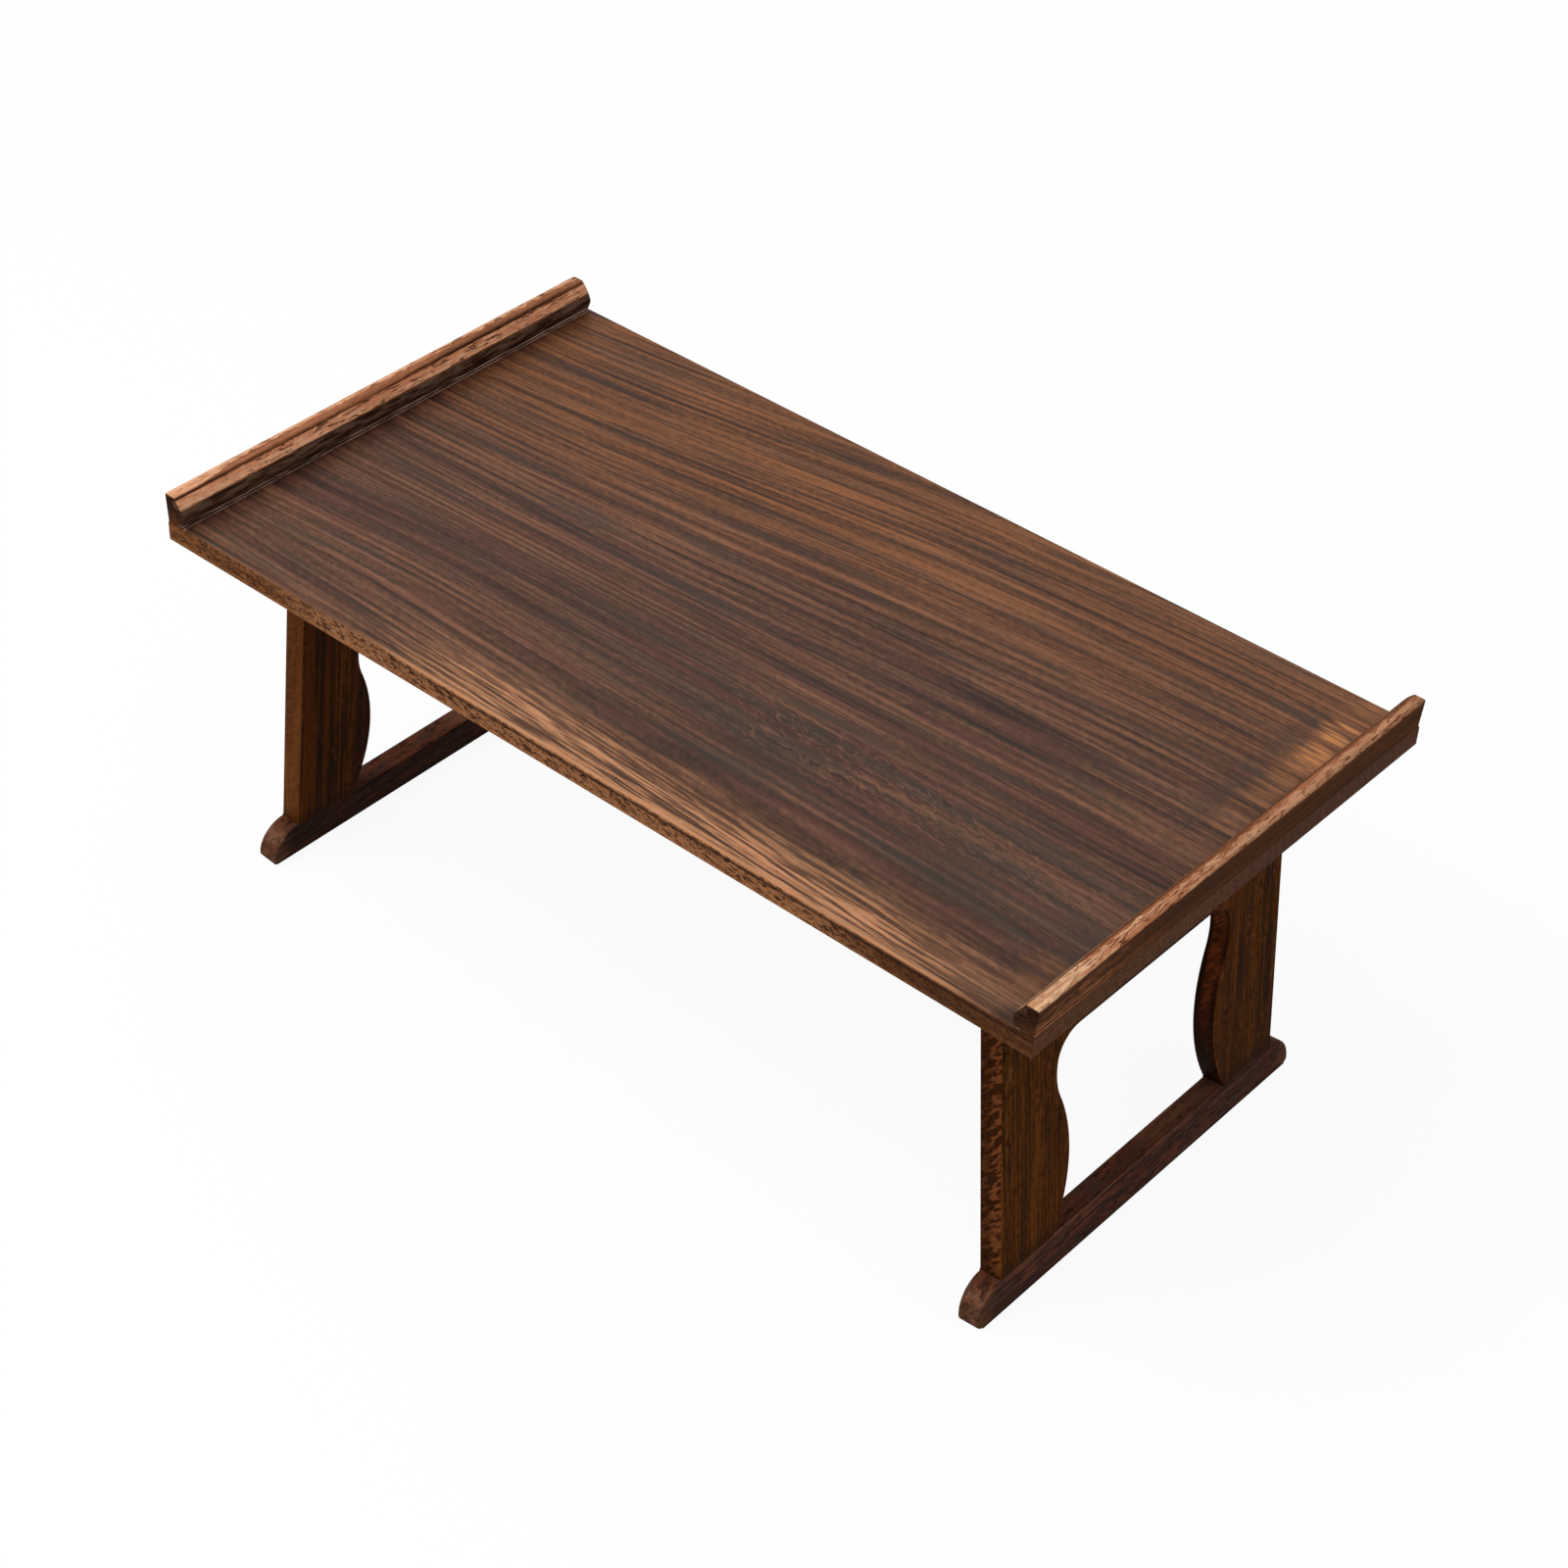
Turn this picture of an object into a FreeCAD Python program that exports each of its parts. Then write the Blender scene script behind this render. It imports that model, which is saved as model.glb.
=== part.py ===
"""Low kang table with raised end lips and two panel legs that fold inward.

Millimetres. X runs along the top's length, Y across it and Z up. The origin is on the floor under the
middle of the table, which stands open.
"""
import FreeCAD
import Part
import math
import os

Vector = FreeCAD.Vector

# Table top
top_length = 700.0
top_width = 378.0
top_thickness = 15.0
underside_height = 264.0
plank_places = ("front", "middle", "back")
plank_ease = 1.5

# Loose tongues that align the planks
tongue_thickness = 4.0
tongue_width = 18.0
tongue_end_stop = 34.0
tongue_clearance = 0.1

# Raised lip along each end of the top
lip_height = 21.0
lip_overhang = 1.5
lip_flat = 6.6
lip_nose_reach = 15.4
lip_nose_height = 8.2
lip_undercut = 2.4
lip_bevel_bulge = 0.7
lip_nose_radius = 1.8
lip_edge_radius = 1.2
lip_front_end_radius = 1.0
lip_back_end_radius = 2.4

# Dowels that pin a lip to the planks
dowel_radius = 3.0
dowel_length = 17.0
dowel_clearance = 0.1
dowel_end_gap = 0.4

# Leg frames, which stand in from the edges of the top and lean outward towards the floor
leg_lean = 5.5
leg_end_inset = 57.5
leg_side_inset = 49.0
leg_thickness = 16.5
rail_height = 87.0
edge_ease = 1.2

# Foot runner, whose heel is rounded by a share of the height that the toe's arc leaves
runner_height = 26.0
runner_toe = 21.5
runner_heel_share = 0.85
runner_ease = 1.8

# Shaped inner edge of a leg board: a bulge, a waist and a corner into the rail, as shares of what they follow
board_width = 66.0
waist_depth = 13.5
bulge_height_share = 0.387
bulge_radius_share = 0.711
waist_drop_share = 0.5
corner_radius_share = 0.4

# Tenons of the leg frame
tenon_thickness = 5.0
tenon_clearance = 0.1
tenon_end_gap = 0.5
foot_tenon_margin = 9.0
foot_tenon_length = 13.0
rail_tenon_margin = 17.0
rail_tenon_length = 16.0

# End batten outside each leg frame
batten_width = 22.0
batten_height = 12.0
batten_setback = 18.0
batten_clearance = 0.5
batten_ease = 1.5

# Butt hinge, placed along the rail by a share of the rail's half length
hinge_length = 32.0
hinge_place_share = 0.5
leaf_thickness = 1.2
leaf_reach = 20.0
leaf_corner = 3.0
knuckle_count = 5
knuckle_gap = 0.3
pin_radius = 1.5
pin_running_clearance = 0.05
barrel_clearance = 0.3
pin_head_lip = 0.8
pin_head_height = 0.9

# Countersunk screws
screw_head_radius = 2.8
screw_shank_radius = 1.4
screw_clearance = 0.08
screw_tip_length = 2.5
screw_tip_radius = 0.3
screw_slot_width = 0.7
screw_slot_depth = 0.5
screw_slot_turn = 67.0
leaf_screw_length = 10.0
leaf_screw_edge = 5.5
leaf_screw_end = 6.0
batten_screw_length = 21.0

# Length by which every cutter passes the face it opens, and how closely two places count as one
overrun = 4.0
match_tolerance = 0.02

half_length = top_length / 2
half_width = top_width / 2
top_surface = underside_height + top_thickness
plank_width = top_width / len(plank_places)
leg_outer_x = half_length - leg_end_inset
frame_half_width = half_width - leg_side_inset
arch_height = underside_height - rail_height
barrel_radius = pin_radius + pin_running_clearance + leaf_thickness
leaf_screw_spread = hinge_length / 2 - leaf_screw_end
lean_cos = math.cos(math.radians(leg_lean))
fold_angle = 90.0 + leg_lean
pivot_offset = barrel_radius + barrel_clearance
pivot_z = underside_height - pivot_offset


def inner_face_x(height):
    """X of a leg's inner face at a height above the floor, right side."""
    outer = leg_outer_x + (underside_height - height) * math.tan(math.radians(leg_lean))
    return outer - leg_thickness / lean_cos


pivot_x = inner_face_x(pivot_z) - pivot_offset / lean_cos


def block(x0, x1, y0, y1, z0, z1):
    """Box between two corners."""
    return Part.makeBox(x1 - x0, y1 - y0, z1 - z0, Vector(x0, y0, z0))


def edge_between(points, bend=None):
    """Straight edge, or an arc through a middle point."""
    if bend is None:
        return Part.LineSegment(points[0], points[1]).toShape()
    return Part.Arc(points[0], bend, points[1]).toShape()


def extruded(edges, direction):
    """Solid that a closed run of edges sweeps along a direction."""
    face = Part.Face(Part.Wire(edges))
    return face.extrude(direction)


def eased(shape, radius, chosen):
    """Shape with the edges that pass a test rounded."""
    edges = [edge for edge in shape.Edges if chosen(edge)]
    return shape.makeFillet(radius, edges)


def near(a, b):
    """Whether two lengths agree."""
    return abs(a - b) < match_tolerance


def both_sides(name, right_shape):
    """Right shape and its mirror image, by node name."""
    left_shape = right_shape.mirror(Vector(0, 0, 0), Vector(1, 0, 0))
    return {"right_" + name: right_shape, "left_" + name: left_shape}


def leaned(shape):
    """Upright panel piece turned to the lean of the right leg."""
    moved = shape.copy()
    moved.rotate(Vector(leg_outer_x, 0, underside_height), Vector(0, 1, 0), -leg_lean)
    return moved


def upright(height):
    """Height in the upright panel of a point that stands at a height when leaned."""
    return underside_height - (underside_height - height) / lean_cos


def between_floor_and_top(shape):
    """Leaned piece cut level with the floor and with the underside of the top."""
    room = block(0, top_length, -top_width, top_width, 0, underside_height)
    return shape.common(room)


def unfolded(shape):
    """Hinge piece built lying folded, turned down to the open leg."""
    moved = shape.copy()
    moved.rotate(Vector(pivot_x, 0, pivot_z), Vector(0, 1, 0), -fold_angle)
    return moved


# Countersunk screw


def screw(length):
    """Countersunk screw along +Z, with the middle of its head's face at the origin."""
    head_height = screw_head_radius - screw_shank_radius
    head = Part.makeCone(screw_head_radius, screw_shank_radius, head_height)
    shank_length = length - head_height - screw_tip_length
    shank = Part.makeCylinder(screw_shank_radius, shank_length, Vector(0, 0, head_height))
    tip_base = Vector(0, 0, head_height + shank_length)
    tip = Part.makeCone(screw_shank_radius, screw_tip_radius, screw_tip_length, tip_base)
    body = head.fuse([shank, tip]).removeSplitter()
    half_slot = screw_slot_width / 2
    reach = screw_head_radius + overrun
    slot = block(-reach, reach, -half_slot, half_slot, -overrun, screw_slot_depth)
    return body.cut(slot)


def screw_room(length):
    """Hole for a screw: countersink and shank hole, a little larger than the screw."""
    head_height = screw_head_radius - screw_shank_radius
    wide = screw_head_radius + screw_clearance
    narrow = screw_shank_radius + screw_clearance
    mouth = Part.makeCylinder(wide, overrun, Vector(0, 0, -overrun))
    sink = Part.makeCone(wide, narrow, head_height)
    hole = Part.makeCylinder(narrow, length + screw_clearance - head_height, Vector(0, 0, head_height))
    return mouth.fuse([sink, hole])


# Hinge


def knuckle_span(index):
    """Lowest and highest Y of one knuckle, from the middle of the hinge."""
    pitch = hinge_length / knuckle_count
    low = index * pitch - hinge_length / 2
    return low + knuckle_gap / 2, low + pitch - knuckle_gap / 2


def leaf_screw_places():
    """Places of a leaf's screws: distance from the pin and Y from the middle of the hinge."""
    near_pin = pivot_offset + leaf_screw_edge
    far_from_pin = leaf_reach - leaf_screw_edge
    return [
        (near_pin, -leaf_screw_spread),
        (far_from_pin, 0.0),
        (near_pin, leaf_screw_spread),
    ]


def hinge_leaf(centre_y, first_knuckle):
    """Leaf screwed under the top, with every second knuckle from the first one given."""
    face_top = underside_height
    face_low = face_top - leaf_thickness
    y_low = centre_y - hinge_length / 2
    y_high = centre_y + hinge_length / 2
    plate = block(pivot_x - leaf_reach, pivot_x - pivot_offset, y_low, y_high, face_low, face_top)
    plate = eased(plate, leaf_corner, lambda edge: near(edge.BoundBox.ZLength, leaf_thickness)
                  and near(edge.CenterOfMass.x, pivot_x - leaf_reach))
    pieces = []
    for index in range(first_knuckle, knuckle_count, 2):
        low, high = [centre_y + end for end in knuckle_span(index)]
        base = Vector(pivot_x, low, pivot_z)
        pieces.append(Part.makeCylinder(barrel_radius, high - low, base, Vector(0, 1, 0)))
        pieces.append(block(pivot_x - pivot_offset, pivot_x, low, high, face_low, face_top))
    leaf = plate.fuse(pieces).removeSplitter()
    bore_base = Vector(pivot_x, y_low - overrun, pivot_z)
    bore_radius = pin_radius + pin_running_clearance
    leaf = leaf.cut(Part.makeCylinder(bore_radius, hinge_length + 2 * overrun, bore_base, Vector(0, 1, 0)))
    return leaf.cut(leaf_screws(centre_y, screw_room))


def folded_over(shape):
    """Mirror image of a top leaf's piece in the level plane of the pin."""
    return shape.mirror(Vector(pivot_x, 0, pivot_z), Vector(0, 0, 1))


def hinge_pin(centre_y):
    """Headed pin through all knuckles of one hinge."""
    y_low = centre_y - hinge_length / 2
    head_radius = pin_radius + pin_head_lip
    shaft = Part.makeCylinder(pin_radius, hinge_length, Vector(pivot_x, y_low, pivot_z), Vector(0, 1, 0))
    heads = []
    for y, way in ((y_low, -1), (y_low + hinge_length, 1)):
        base = Vector(pivot_x, y, pivot_z)
        heads.append(Part.makeCone(head_radius, pin_radius, pin_head_height, base, Vector(0, way, 0)))
    return shaft.fuse(heads).removeSplitter()


def leaf_screws(centre_y, maker):
    """Screws, or the holes for them, of one top leaf."""
    face_low = underside_height - leaf_thickness
    places = [Vector(pivot_x - distance, centre_y + y, face_low) for distance, y in leaf_screw_places()]
    return driven(maker(leaf_screw_length), places)


def driven(shape, places):
    """Copies of an upright screw or its hole at their places, each driven to its own turn."""
    copies = []
    for index, place in enumerate(places):
        copy = shape.copy()
        copy.rotate(Vector(0, 0, 0), Vector(0, 0, 1), index * screw_slot_turn)
        copy.translate(place)
        copies.append(copy)
    return copies


# End batten


def plank_middles():
    """Y of the middle of each plank, from the front."""
    return [(index + 0.5) * plank_width - half_width for index in range(len(plank_places))]


def batten_inner_x(height):
    """X of the batten's inner face, which keeps clear of the leaning leg."""
    return inner_face_x(height) + (leg_thickness + batten_clearance) / lean_cos


def batten_screws(maker):
    """Screws, or the holes for them, of the right batten: two in each plank."""
    x = batten_inner_x(underside_height) + batten_width / 2
    face_low = underside_height - batten_height
    offsets = (-plank_width / 4, plank_width / 4)
    places = [Vector(x, middle + offset, face_low) for middle in plank_middles() for offset in offsets]
    return driven(maker(batten_screw_length), places)


def end_batten():
    """Batten under the right end, with its inner face parallel to the open leg."""
    low = underside_height - batten_height
    outer = batten_inner_x(underside_height) + batten_width
    y = half_width - batten_setback
    corners = [
        Vector(batten_inner_x(underside_height), -y, underside_height),
        Vector(batten_inner_x(low), -y, low),
        Vector(outer - batten_ease, -y, low),
        Vector(outer, -y, low + batten_ease),
        Vector(outer, -y, underside_height),
    ]
    batten = extruded(Part.makePolygon(corners + corners[:1]).Edges, Vector(0, 2 * y, 0))
    return batten.cut(batten_screws(screw_room))


# Lip


def lip_foot_reach():
    """How far in from the end of the top the lip's foot reaches."""
    return lip_nose_reach - lip_undercut


def lip():
    """Raised moulding on the right end: leaning outer face, flat crown, bevel to a nose, drawn-in foot."""
    def at(reach, height):
        return Vector(half_length - reach, -half_width, top_surface + height)

    bevel_middle_reach = (lip_flat + lip_nose_reach) / 2 + lip_bevel_bulge
    bevel_middle_height = (lip_height + lip_nose_height) / 2 + lip_bevel_bulge
    nose_low = lip_nose_height - lip_nose_radius
    edges = [
        edge_between((at(0, 0), at(-lip_overhang, lip_height))),
        edge_between((at(-lip_overhang, lip_height), at(lip_flat, lip_height))),
        edge_between((at(lip_flat, lip_height), at(lip_nose_reach, lip_nose_height)),
                     at(bevel_middle_reach, bevel_middle_height)),
        edge_between((at(lip_nose_reach, lip_nose_height), at(lip_nose_reach, nose_low))),
        edge_between((at(lip_nose_reach, nose_low), at(lip_foot_reach(), 0))),
        edge_between((at(lip_foot_reach(), 0), at(0, 0))),
    ]
    body = extruded(edges, Vector(0, top_width, 0))
    outer_x = half_length + lip_overhang
    nose_x = half_length - lip_nose_reach
    body = eased(body, lip_edge_radius, lambda edge: near(edge.BoundBox.YLength, top_width)
                 and near(edge.CenterOfMass.x, outer_x))
    body = eased(body, lip_nose_radius, lambda edge: near(edge.BoundBox.YLength, top_width)
                 and near(edge.CenterOfMass.x, nose_x))
    for end_y, radius in ((-half_width, lip_front_end_radius), (half_width, lip_back_end_radius)):
        body = eased(body, radius, lambda edge: near(edge.CenterOfMass.y, end_y)
                     and edge.CenterOfMass.z > top_surface + match_tolerance)
    return body


def lip_dowels(radius, length):
    """Dowels between the right lip and the planks, one in each plank."""
    x = half_length - lip_foot_reach() / 2
    low = top_surface - length / 2
    return [Part.makeCylinder(radius, length, Vector(x, y, low)) for y in plank_middles()]


# Planks


def tongue_ys():
    """Y of each seam between planks."""
    return [seam * plank_width - half_width for seam in range(1, len(plank_places))]


def tongue(y, clearance):
    """Loose tongue across one seam, or the room for it."""
    reach = half_length - tongue_end_stop + clearance
    half = tongue_width / 2 + clearance
    thick = tongue_thickness / 2 + clearance
    middle = underside_height + top_thickness / 2
    return block(-reach, reach, y - half, y + half, middle - thick, middle + thick)


def plank(index, holes):
    """One board of the top, with its outer edges eased and its joints cut."""
    y_low = index * plank_width - half_width
    y_high = y_low + plank_width
    board = block(-half_length, half_length, y_low, y_high, underside_height, top_surface)

    def outer_edge(edge):
        middle = edge.CenterOfMass
        long_side = near(abs(middle.y), half_width) and near(edge.BoundBox.XLength, top_length)
        low_end = near(abs(middle.x), half_length) and near(middle.z, underside_height)
        return long_side or low_end

    board = eased(board, plank_ease, outer_edge)
    return board.cut(holes)


# Leg frame


def shaped_edge_arcs():
    """Arcs of a leg board's shaped edge, each a centre and a radius, and each smooth with the next.

    The waist lies a share of its own radius below the arch, so its radius solves a quadratic.
    """
    bulge_height = runner_height + bulge_height_share * (arch_height - runner_height)
    rise = arch_height - bulge_height
    waist_share = 1 - bulge_radius_share
    half_slope = waist_drop_share * rise + waist_depth / waist_share
    spare = half_slope ** 2 - waist_drop_share ** 2 * (rise ** 2 + waist_depth ** 2)
    waist_radius = (half_slope - math.sqrt(spare)) / waist_drop_share ** 2
    waist_height = arch_height - waist_drop_share * waist_radius
    bulge_radius = waist_radius * bulge_radius_share / waist_share
    corner_radius = corner_radius_share * waist_radius
    bulge_y = frame_half_width - board_width
    bulge = Vector(0, bulge_y + bulge_radius, bulge_height)
    waist = Vector(0, bulge_y + waist_depth - waist_radius, waist_height)
    corner_height = arch_height - corner_radius
    spread = math.sqrt((waist_radius - corner_radius) ** 2 - (corner_height - waist_height) ** 2)
    corner = Vector(0, waist.y + spread, corner_height)
    return (bulge, bulge_radius), (waist, waist_radius), (corner, corner_radius)


def rail_half_length():
    """Half the rail's length between its shoulders, where the shaped edges turn level."""
    return shaped_edge_arcs()[2][0].y


def board_foot_y():
    """Y of the back leg board's shaped edge where it stands on the runner."""
    bulge, bulge_radius = shaped_edge_arcs()[0]
    return bulge.y - math.sqrt(bulge_radius ** 2 - (bulge.z - runner_height) ** 2)


def raised(point):
    """Point of the shaped edge set at its height in the upright panel."""
    return Vector(leg_outer_x - leg_thickness, point.y, upright(point.z))


def leg_board():
    """Back leg board: straight outer edge, shaped inner edge and a tenon for the runner."""
    (bulge, bulge_radius), (waist, waist_radius), (corner, corner_radius) = shaped_edge_arcs()
    foot = Vector(0, board_foot_y(), runner_height)
    bulge_middle = bulge - Vector(0, bulge_radius, 0)
    turn = bulge + (waist - bulge).normalize() * bulge_radius
    waist_middle = waist + Vector(0, waist_radius, 0)
    corner_start = waist + (corner - waist).normalize() * waist_radius
    corner_middle = corner + Vector(0, 1, 1).normalize() * corner_radius
    arch = corner + Vector(0, 0, corner_radius)
    head = underside_height + leg_thickness
    outer = frame_half_width
    edges = [
        edge_between((raised(foot), raised(turn)), raised(bulge_middle)),
        edge_between((raised(turn), raised(corner_start)), raised(waist_middle)),
        edge_between((raised(corner_start), raised(arch)), raised(corner_middle)),
        edge_between((raised(arch), raised(Vector(0, corner.y, head)))),
        edge_between((raised(Vector(0, corner.y, head)), raised(Vector(0, outer, head)))),
        edge_between((raised(Vector(0, outer, head)), raised(Vector(0, outer, runner_height)))),
        edge_between((raised(Vector(0, outer, runner_height)), raised(foot))),
    ]
    board = extruded(edges, Vector(leg_thickness, 0, 0))
    low, high = upright(runner_height), upright(underside_height)

    def shown_edge(edge):
        middle = edge.CenterOfMass
        upright_face = near(edge.BoundBox.XLength, 0)
        return upright_face and low + edge_ease < middle.z < high and not near(middle.y, corner.y)

    board = eased(board, edge_ease, shown_edge)
    board = board.cut(rail_tenon(tenon_clearance, tenon_end_gap))
    return board.fuse(foot_tenon(0.0, 0.0)).removeSplitter()


def foot_tenon(clearance, end_gap):
    """Tenon under the back leg board, or the mortise for it."""
    middle_y = (board_foot_y() + frame_half_width) / 2
    middle_x = leg_outer_x - leg_thickness / 2
    thick = tenon_thickness / 2 + clearance
    half = (frame_half_width - board_foot_y()) / 2 - foot_tenon_margin + clearance
    top = upright(runner_height)
    low = top - foot_tenon_length - end_gap
    return block(middle_x - thick, middle_x + thick, middle_y - half, middle_y + half, low, top)


def rail_tenon(clearance, end_gap):
    """Tenon at the back end of the top rail, or the mortise for it."""
    root = rail_half_length()
    middle_x = leg_outer_x - leg_thickness / 2
    middle_z = (upright(arch_height) + underside_height) / 2
    thick = tenon_thickness / 2 + clearance
    half = rail_height / 2 - rail_tenon_margin + clearance
    tip = root + rail_tenon_length + end_gap
    return block(middle_x - thick, middle_x + thick, root, tip, middle_z - half, middle_z + half)


def front_image(shape):
    """Mirror image of a back piece at the front of the frame."""
    return shape.mirror(Vector(0, 0, 0), Vector(0, 1, 0))


def top_rail():
    """Rail between the leg boards, which carries the hinges."""
    half = rail_half_length()
    inner = leg_outer_x - leg_thickness
    head = underside_height + leg_thickness
    low = upright(arch_height)
    rail = block(inner, leg_outer_x, -half, half, low, head)
    rail = eased(rail, edge_ease, lambda edge: near(edge.BoundBox.YLength, 2 * half)
                 and near(edge.CenterOfMass.z, low))
    tenon = rail_tenon(0.0, 0.0)
    rail = rail.fuse([tenon, front_image(tenon)]).removeSplitter()
    rail = between_floor_and_top(leaned(rail))
    rooms = [unfolded(folded_over(room)) for y in hinge_ys() for room in leaf_screws(y, screw_room)]
    return rail.cut(rooms)


def runner():
    """Foot runner with rounded toes, edges eased where no board stands, and two mortises."""
    inner = leg_outer_x - leg_thickness
    top = upright(runner_height)
    floor = upright(0.0)
    sole = floor - leg_thickness
    end = frame_half_width + runner_toe
    shoulder = top - runner_toe
    heel_radius = runner_heel_share * (shoulder - floor)
    heel = end - heel_radius
    diagonal = math.sin(math.radians(45.0))
    bend = runner_toe * diagonal
    heel_bend = heel_radius * diagonal

    def at(y, height):
        return Vector(inner, y, height)

    def toe(way):
        start, tip = at(way * frame_half_width, top), at(way * end, shoulder)
        drop, foot = at(way * end, floor + heel_radius), at(way * heel, floor)
        middle = at(way * (frame_half_width + bend), shoulder + bend)
        foot_middle = at(way * (heel + heel_bend), floor + heel_radius - heel_bend)
        return [
            edge_between((start, tip), middle),
            edge_between((tip, drop)),
            edge_between((drop, foot), foot_middle),
            edge_between((foot, at(way * heel, sole))),
        ]

    edges = [
        edge_between((at(-frame_half_width, top), at(frame_half_width, top))),
        *toe(1),
        edge_between((at(heel, sole), at(-heel, sole))),
        *reversed(toe(-1)),
    ]
    bar = extruded(edges, Vector(leg_thickness, 0, 0))
    seat = block(inner, leg_outer_x, board_foot_y(), frame_half_width, sole, top)
    seats = [bar.common(seat), bar.common(front_image(seat))]
    bar = eased(bar, min(runner_ease, heel_radius / 2), lambda edge: near(edge.BoundBox.XLength, 0)
                and near(edge.CenterOfMass.z, top))
    bar = bar.fuse(seats).removeSplitter()
    mortise = foot_tenon(tenon_clearance, tenon_end_gap)
    bar = bar.cut([mortise, front_image(mortise)])
    return between_floor_and_top(leaned(bar))


def hinge_ys():
    """Y of the middle of each hinge."""
    centre = hinge_place_share * rail_half_length()
    return [-centre, centre]


def compound(shapes):
    """Group of separate solids."""
    return Part.makeCompound(shapes)


def top_pieces():
    """Planks, tongues, lips, dowels and battens."""
    nodes = {}
    leaf_rooms = [room for y in hinge_ys() for room in leaf_screws(y, screw_room)]
    dowel_rooms = lip_dowels(dowel_radius + dowel_clearance, dowel_length + 2 * dowel_end_gap)
    right_rooms = leaf_rooms + batten_screws(screw_room) + dowel_rooms
    left_rooms = [room.mirror(Vector(0, 0, 0), Vector(1, 0, 0)) for room in right_rooms]
    tongue_rooms = [tongue(y, tongue_clearance) for y in tongue_ys()]
    holes = right_rooms + left_rooms + tongue_rooms
    for index, place in enumerate(plank_places):
        nodes["top_plank_" + place] = plank(index, holes)
    nodes["plank_tongues"] = compound([tongue(y, 0.0) for y in tongue_ys()])
    nodes.update(both_sides("lip", lip().cut(dowel_rooms)))
    nodes.update(both_sides("lip_dowels", compound(lip_dowels(dowel_radius, dowel_length))))
    nodes.update(both_sides("end_batten", end_batten()))
    nodes.update(both_sides("batten_screws", compound(batten_screws(screw))))
    return nodes


def hinge_pieces():
    """Leaves, pins and screws of the hinges."""
    nodes = {}
    for place, y in zip(("front", "back"), hinge_ys()):
        nodes.update(both_sides(place + "_hinge_top_leaf", hinge_leaf(y, 0)))
        nodes.update(both_sides(place + "_hinge_leg_leaf", unfolded(folded_over(hinge_leaf(y, 1)))))
        nodes.update(both_sides(place + "_hinge_pin", hinge_pin(y)))
    screws = [piece for y in hinge_ys() for piece in leaf_screws(y, screw)]
    nodes.update(both_sides("top_leaf_screws", compound(screws)))
    nodes.update(both_sides("leg_leaf_screws", compound([unfolded(folded_over(piece)) for piece in screws])))
    return nodes


def leg_pieces():
    """Boards, rail and runner of the leg frames."""
    nodes = {}
    board = leg_board()
    nodes.update(both_sides("back_leg_board", between_floor_and_top(leaned(board))))
    nodes.update(both_sides("front_leg_board", between_floor_and_top(leaned(front_image(board)))))
    nodes.update(both_sides("top_rail", top_rail()))
    nodes.update(both_sides("foot_runner", runner()))
    return nodes


def main():
    """Build every piece and write it to its own file."""
    os.makedirs("parts", exist_ok=True)
    nodes = {**top_pieces(), **hinge_pieces(), **leg_pieces()}
    for name, shape in sorted(nodes.items()):
        shape.exportStep("parts/" + name + ".step")
        print(name, "solids", len(shape.Solids), "valid", shape.isValid(), "volume", round(shape.Volume, 1))
    print("leg fold axis at x", round(pivot_x, 4), "z", round(pivot_z, 4), "through", fold_angle, "degrees")


main()
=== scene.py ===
"""Look of a low folding table of scorched and brushed wood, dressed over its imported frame."""

import logging
import math
from dataclasses import astuple, dataclass, replace
from enum import Enum
from functools import cached_property
from typing import Any, Callable, Mapping, Union

import bmesh
import bpy
from mathutils import Matrix, Vector

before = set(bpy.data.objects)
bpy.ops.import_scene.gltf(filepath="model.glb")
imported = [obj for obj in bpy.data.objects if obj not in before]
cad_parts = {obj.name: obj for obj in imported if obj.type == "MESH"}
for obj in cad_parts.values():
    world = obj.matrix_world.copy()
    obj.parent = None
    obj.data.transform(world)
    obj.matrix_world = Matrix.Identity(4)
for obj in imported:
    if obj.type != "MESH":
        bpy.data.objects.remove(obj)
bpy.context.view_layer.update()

log = logging.getLogger("kang_table")

Colour = tuple[float, float, float, float]
Triple = tuple[float, float, float]
Span = tuple[float, float]
Number = Union["Wire", float]

X_AXIS: Triple = (1.0, 0.0, 0.0)
Y_AXIS: Triple = (0.0, 1.0, 0.0)
Z_AXIS: Triple = (0.0, 0.0, 1.0)
WHITE: Colour = (1.0, 1.0, 1.0, 1.0)

# Lengths in millimetres
LENGTH_HALF = 350.0
LIP_WIDTH = 13.0
TOP_SURFACE = 279.0
UNDERSIDE = 264.0
LEG_LEAN = math.radians(5.5)


def shade(red: int, green: int, blue: int) -> Colour:
    """Turns a screen colour into the linear one that a shader takes.

    Args:
        red: Red from 0 to 255.
        green: Green from 0 to 255.
        blue: Blue from 0 to 255.

    Returns:
        The linear colour with a full alpha.
    """
    def linear(level: float) -> float:
        """Undoes the screen's curve for one channel."""
        return level / 12.92 if level <= 0.04045 else ((level + 0.055) / 1.055) ** 2.4

    return (*(linear(level / 255) for level in (red, green, blue)), 1.0)


class Side(Enum):
    """End of the table, with the sign of its X."""

    LEFT = -1
    RIGHT = 1

    @property
    def word(self) -> str:
        """Name that the nodes of this end begin with."""
        return self.name.lower()


# Shader expressions


def arithmetic(operation: str, swapped: bool = False) -> Callable[["Wire", Number], "Wire"]:
    """Makes the method that stands for one of Python's operators.

    Args:
        operation: What the Math node does.
        swapped: Whether the wire is the second of the two numbers.

    Returns:
        The method.
    """
    def method(wire: "Wire", other: Number) -> "Wire":
        """Adds a Math node with this wire and another number."""
        return wire.graph.maths(operation, *((other, wire) if swapped else (wire, other)))

    return method


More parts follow.
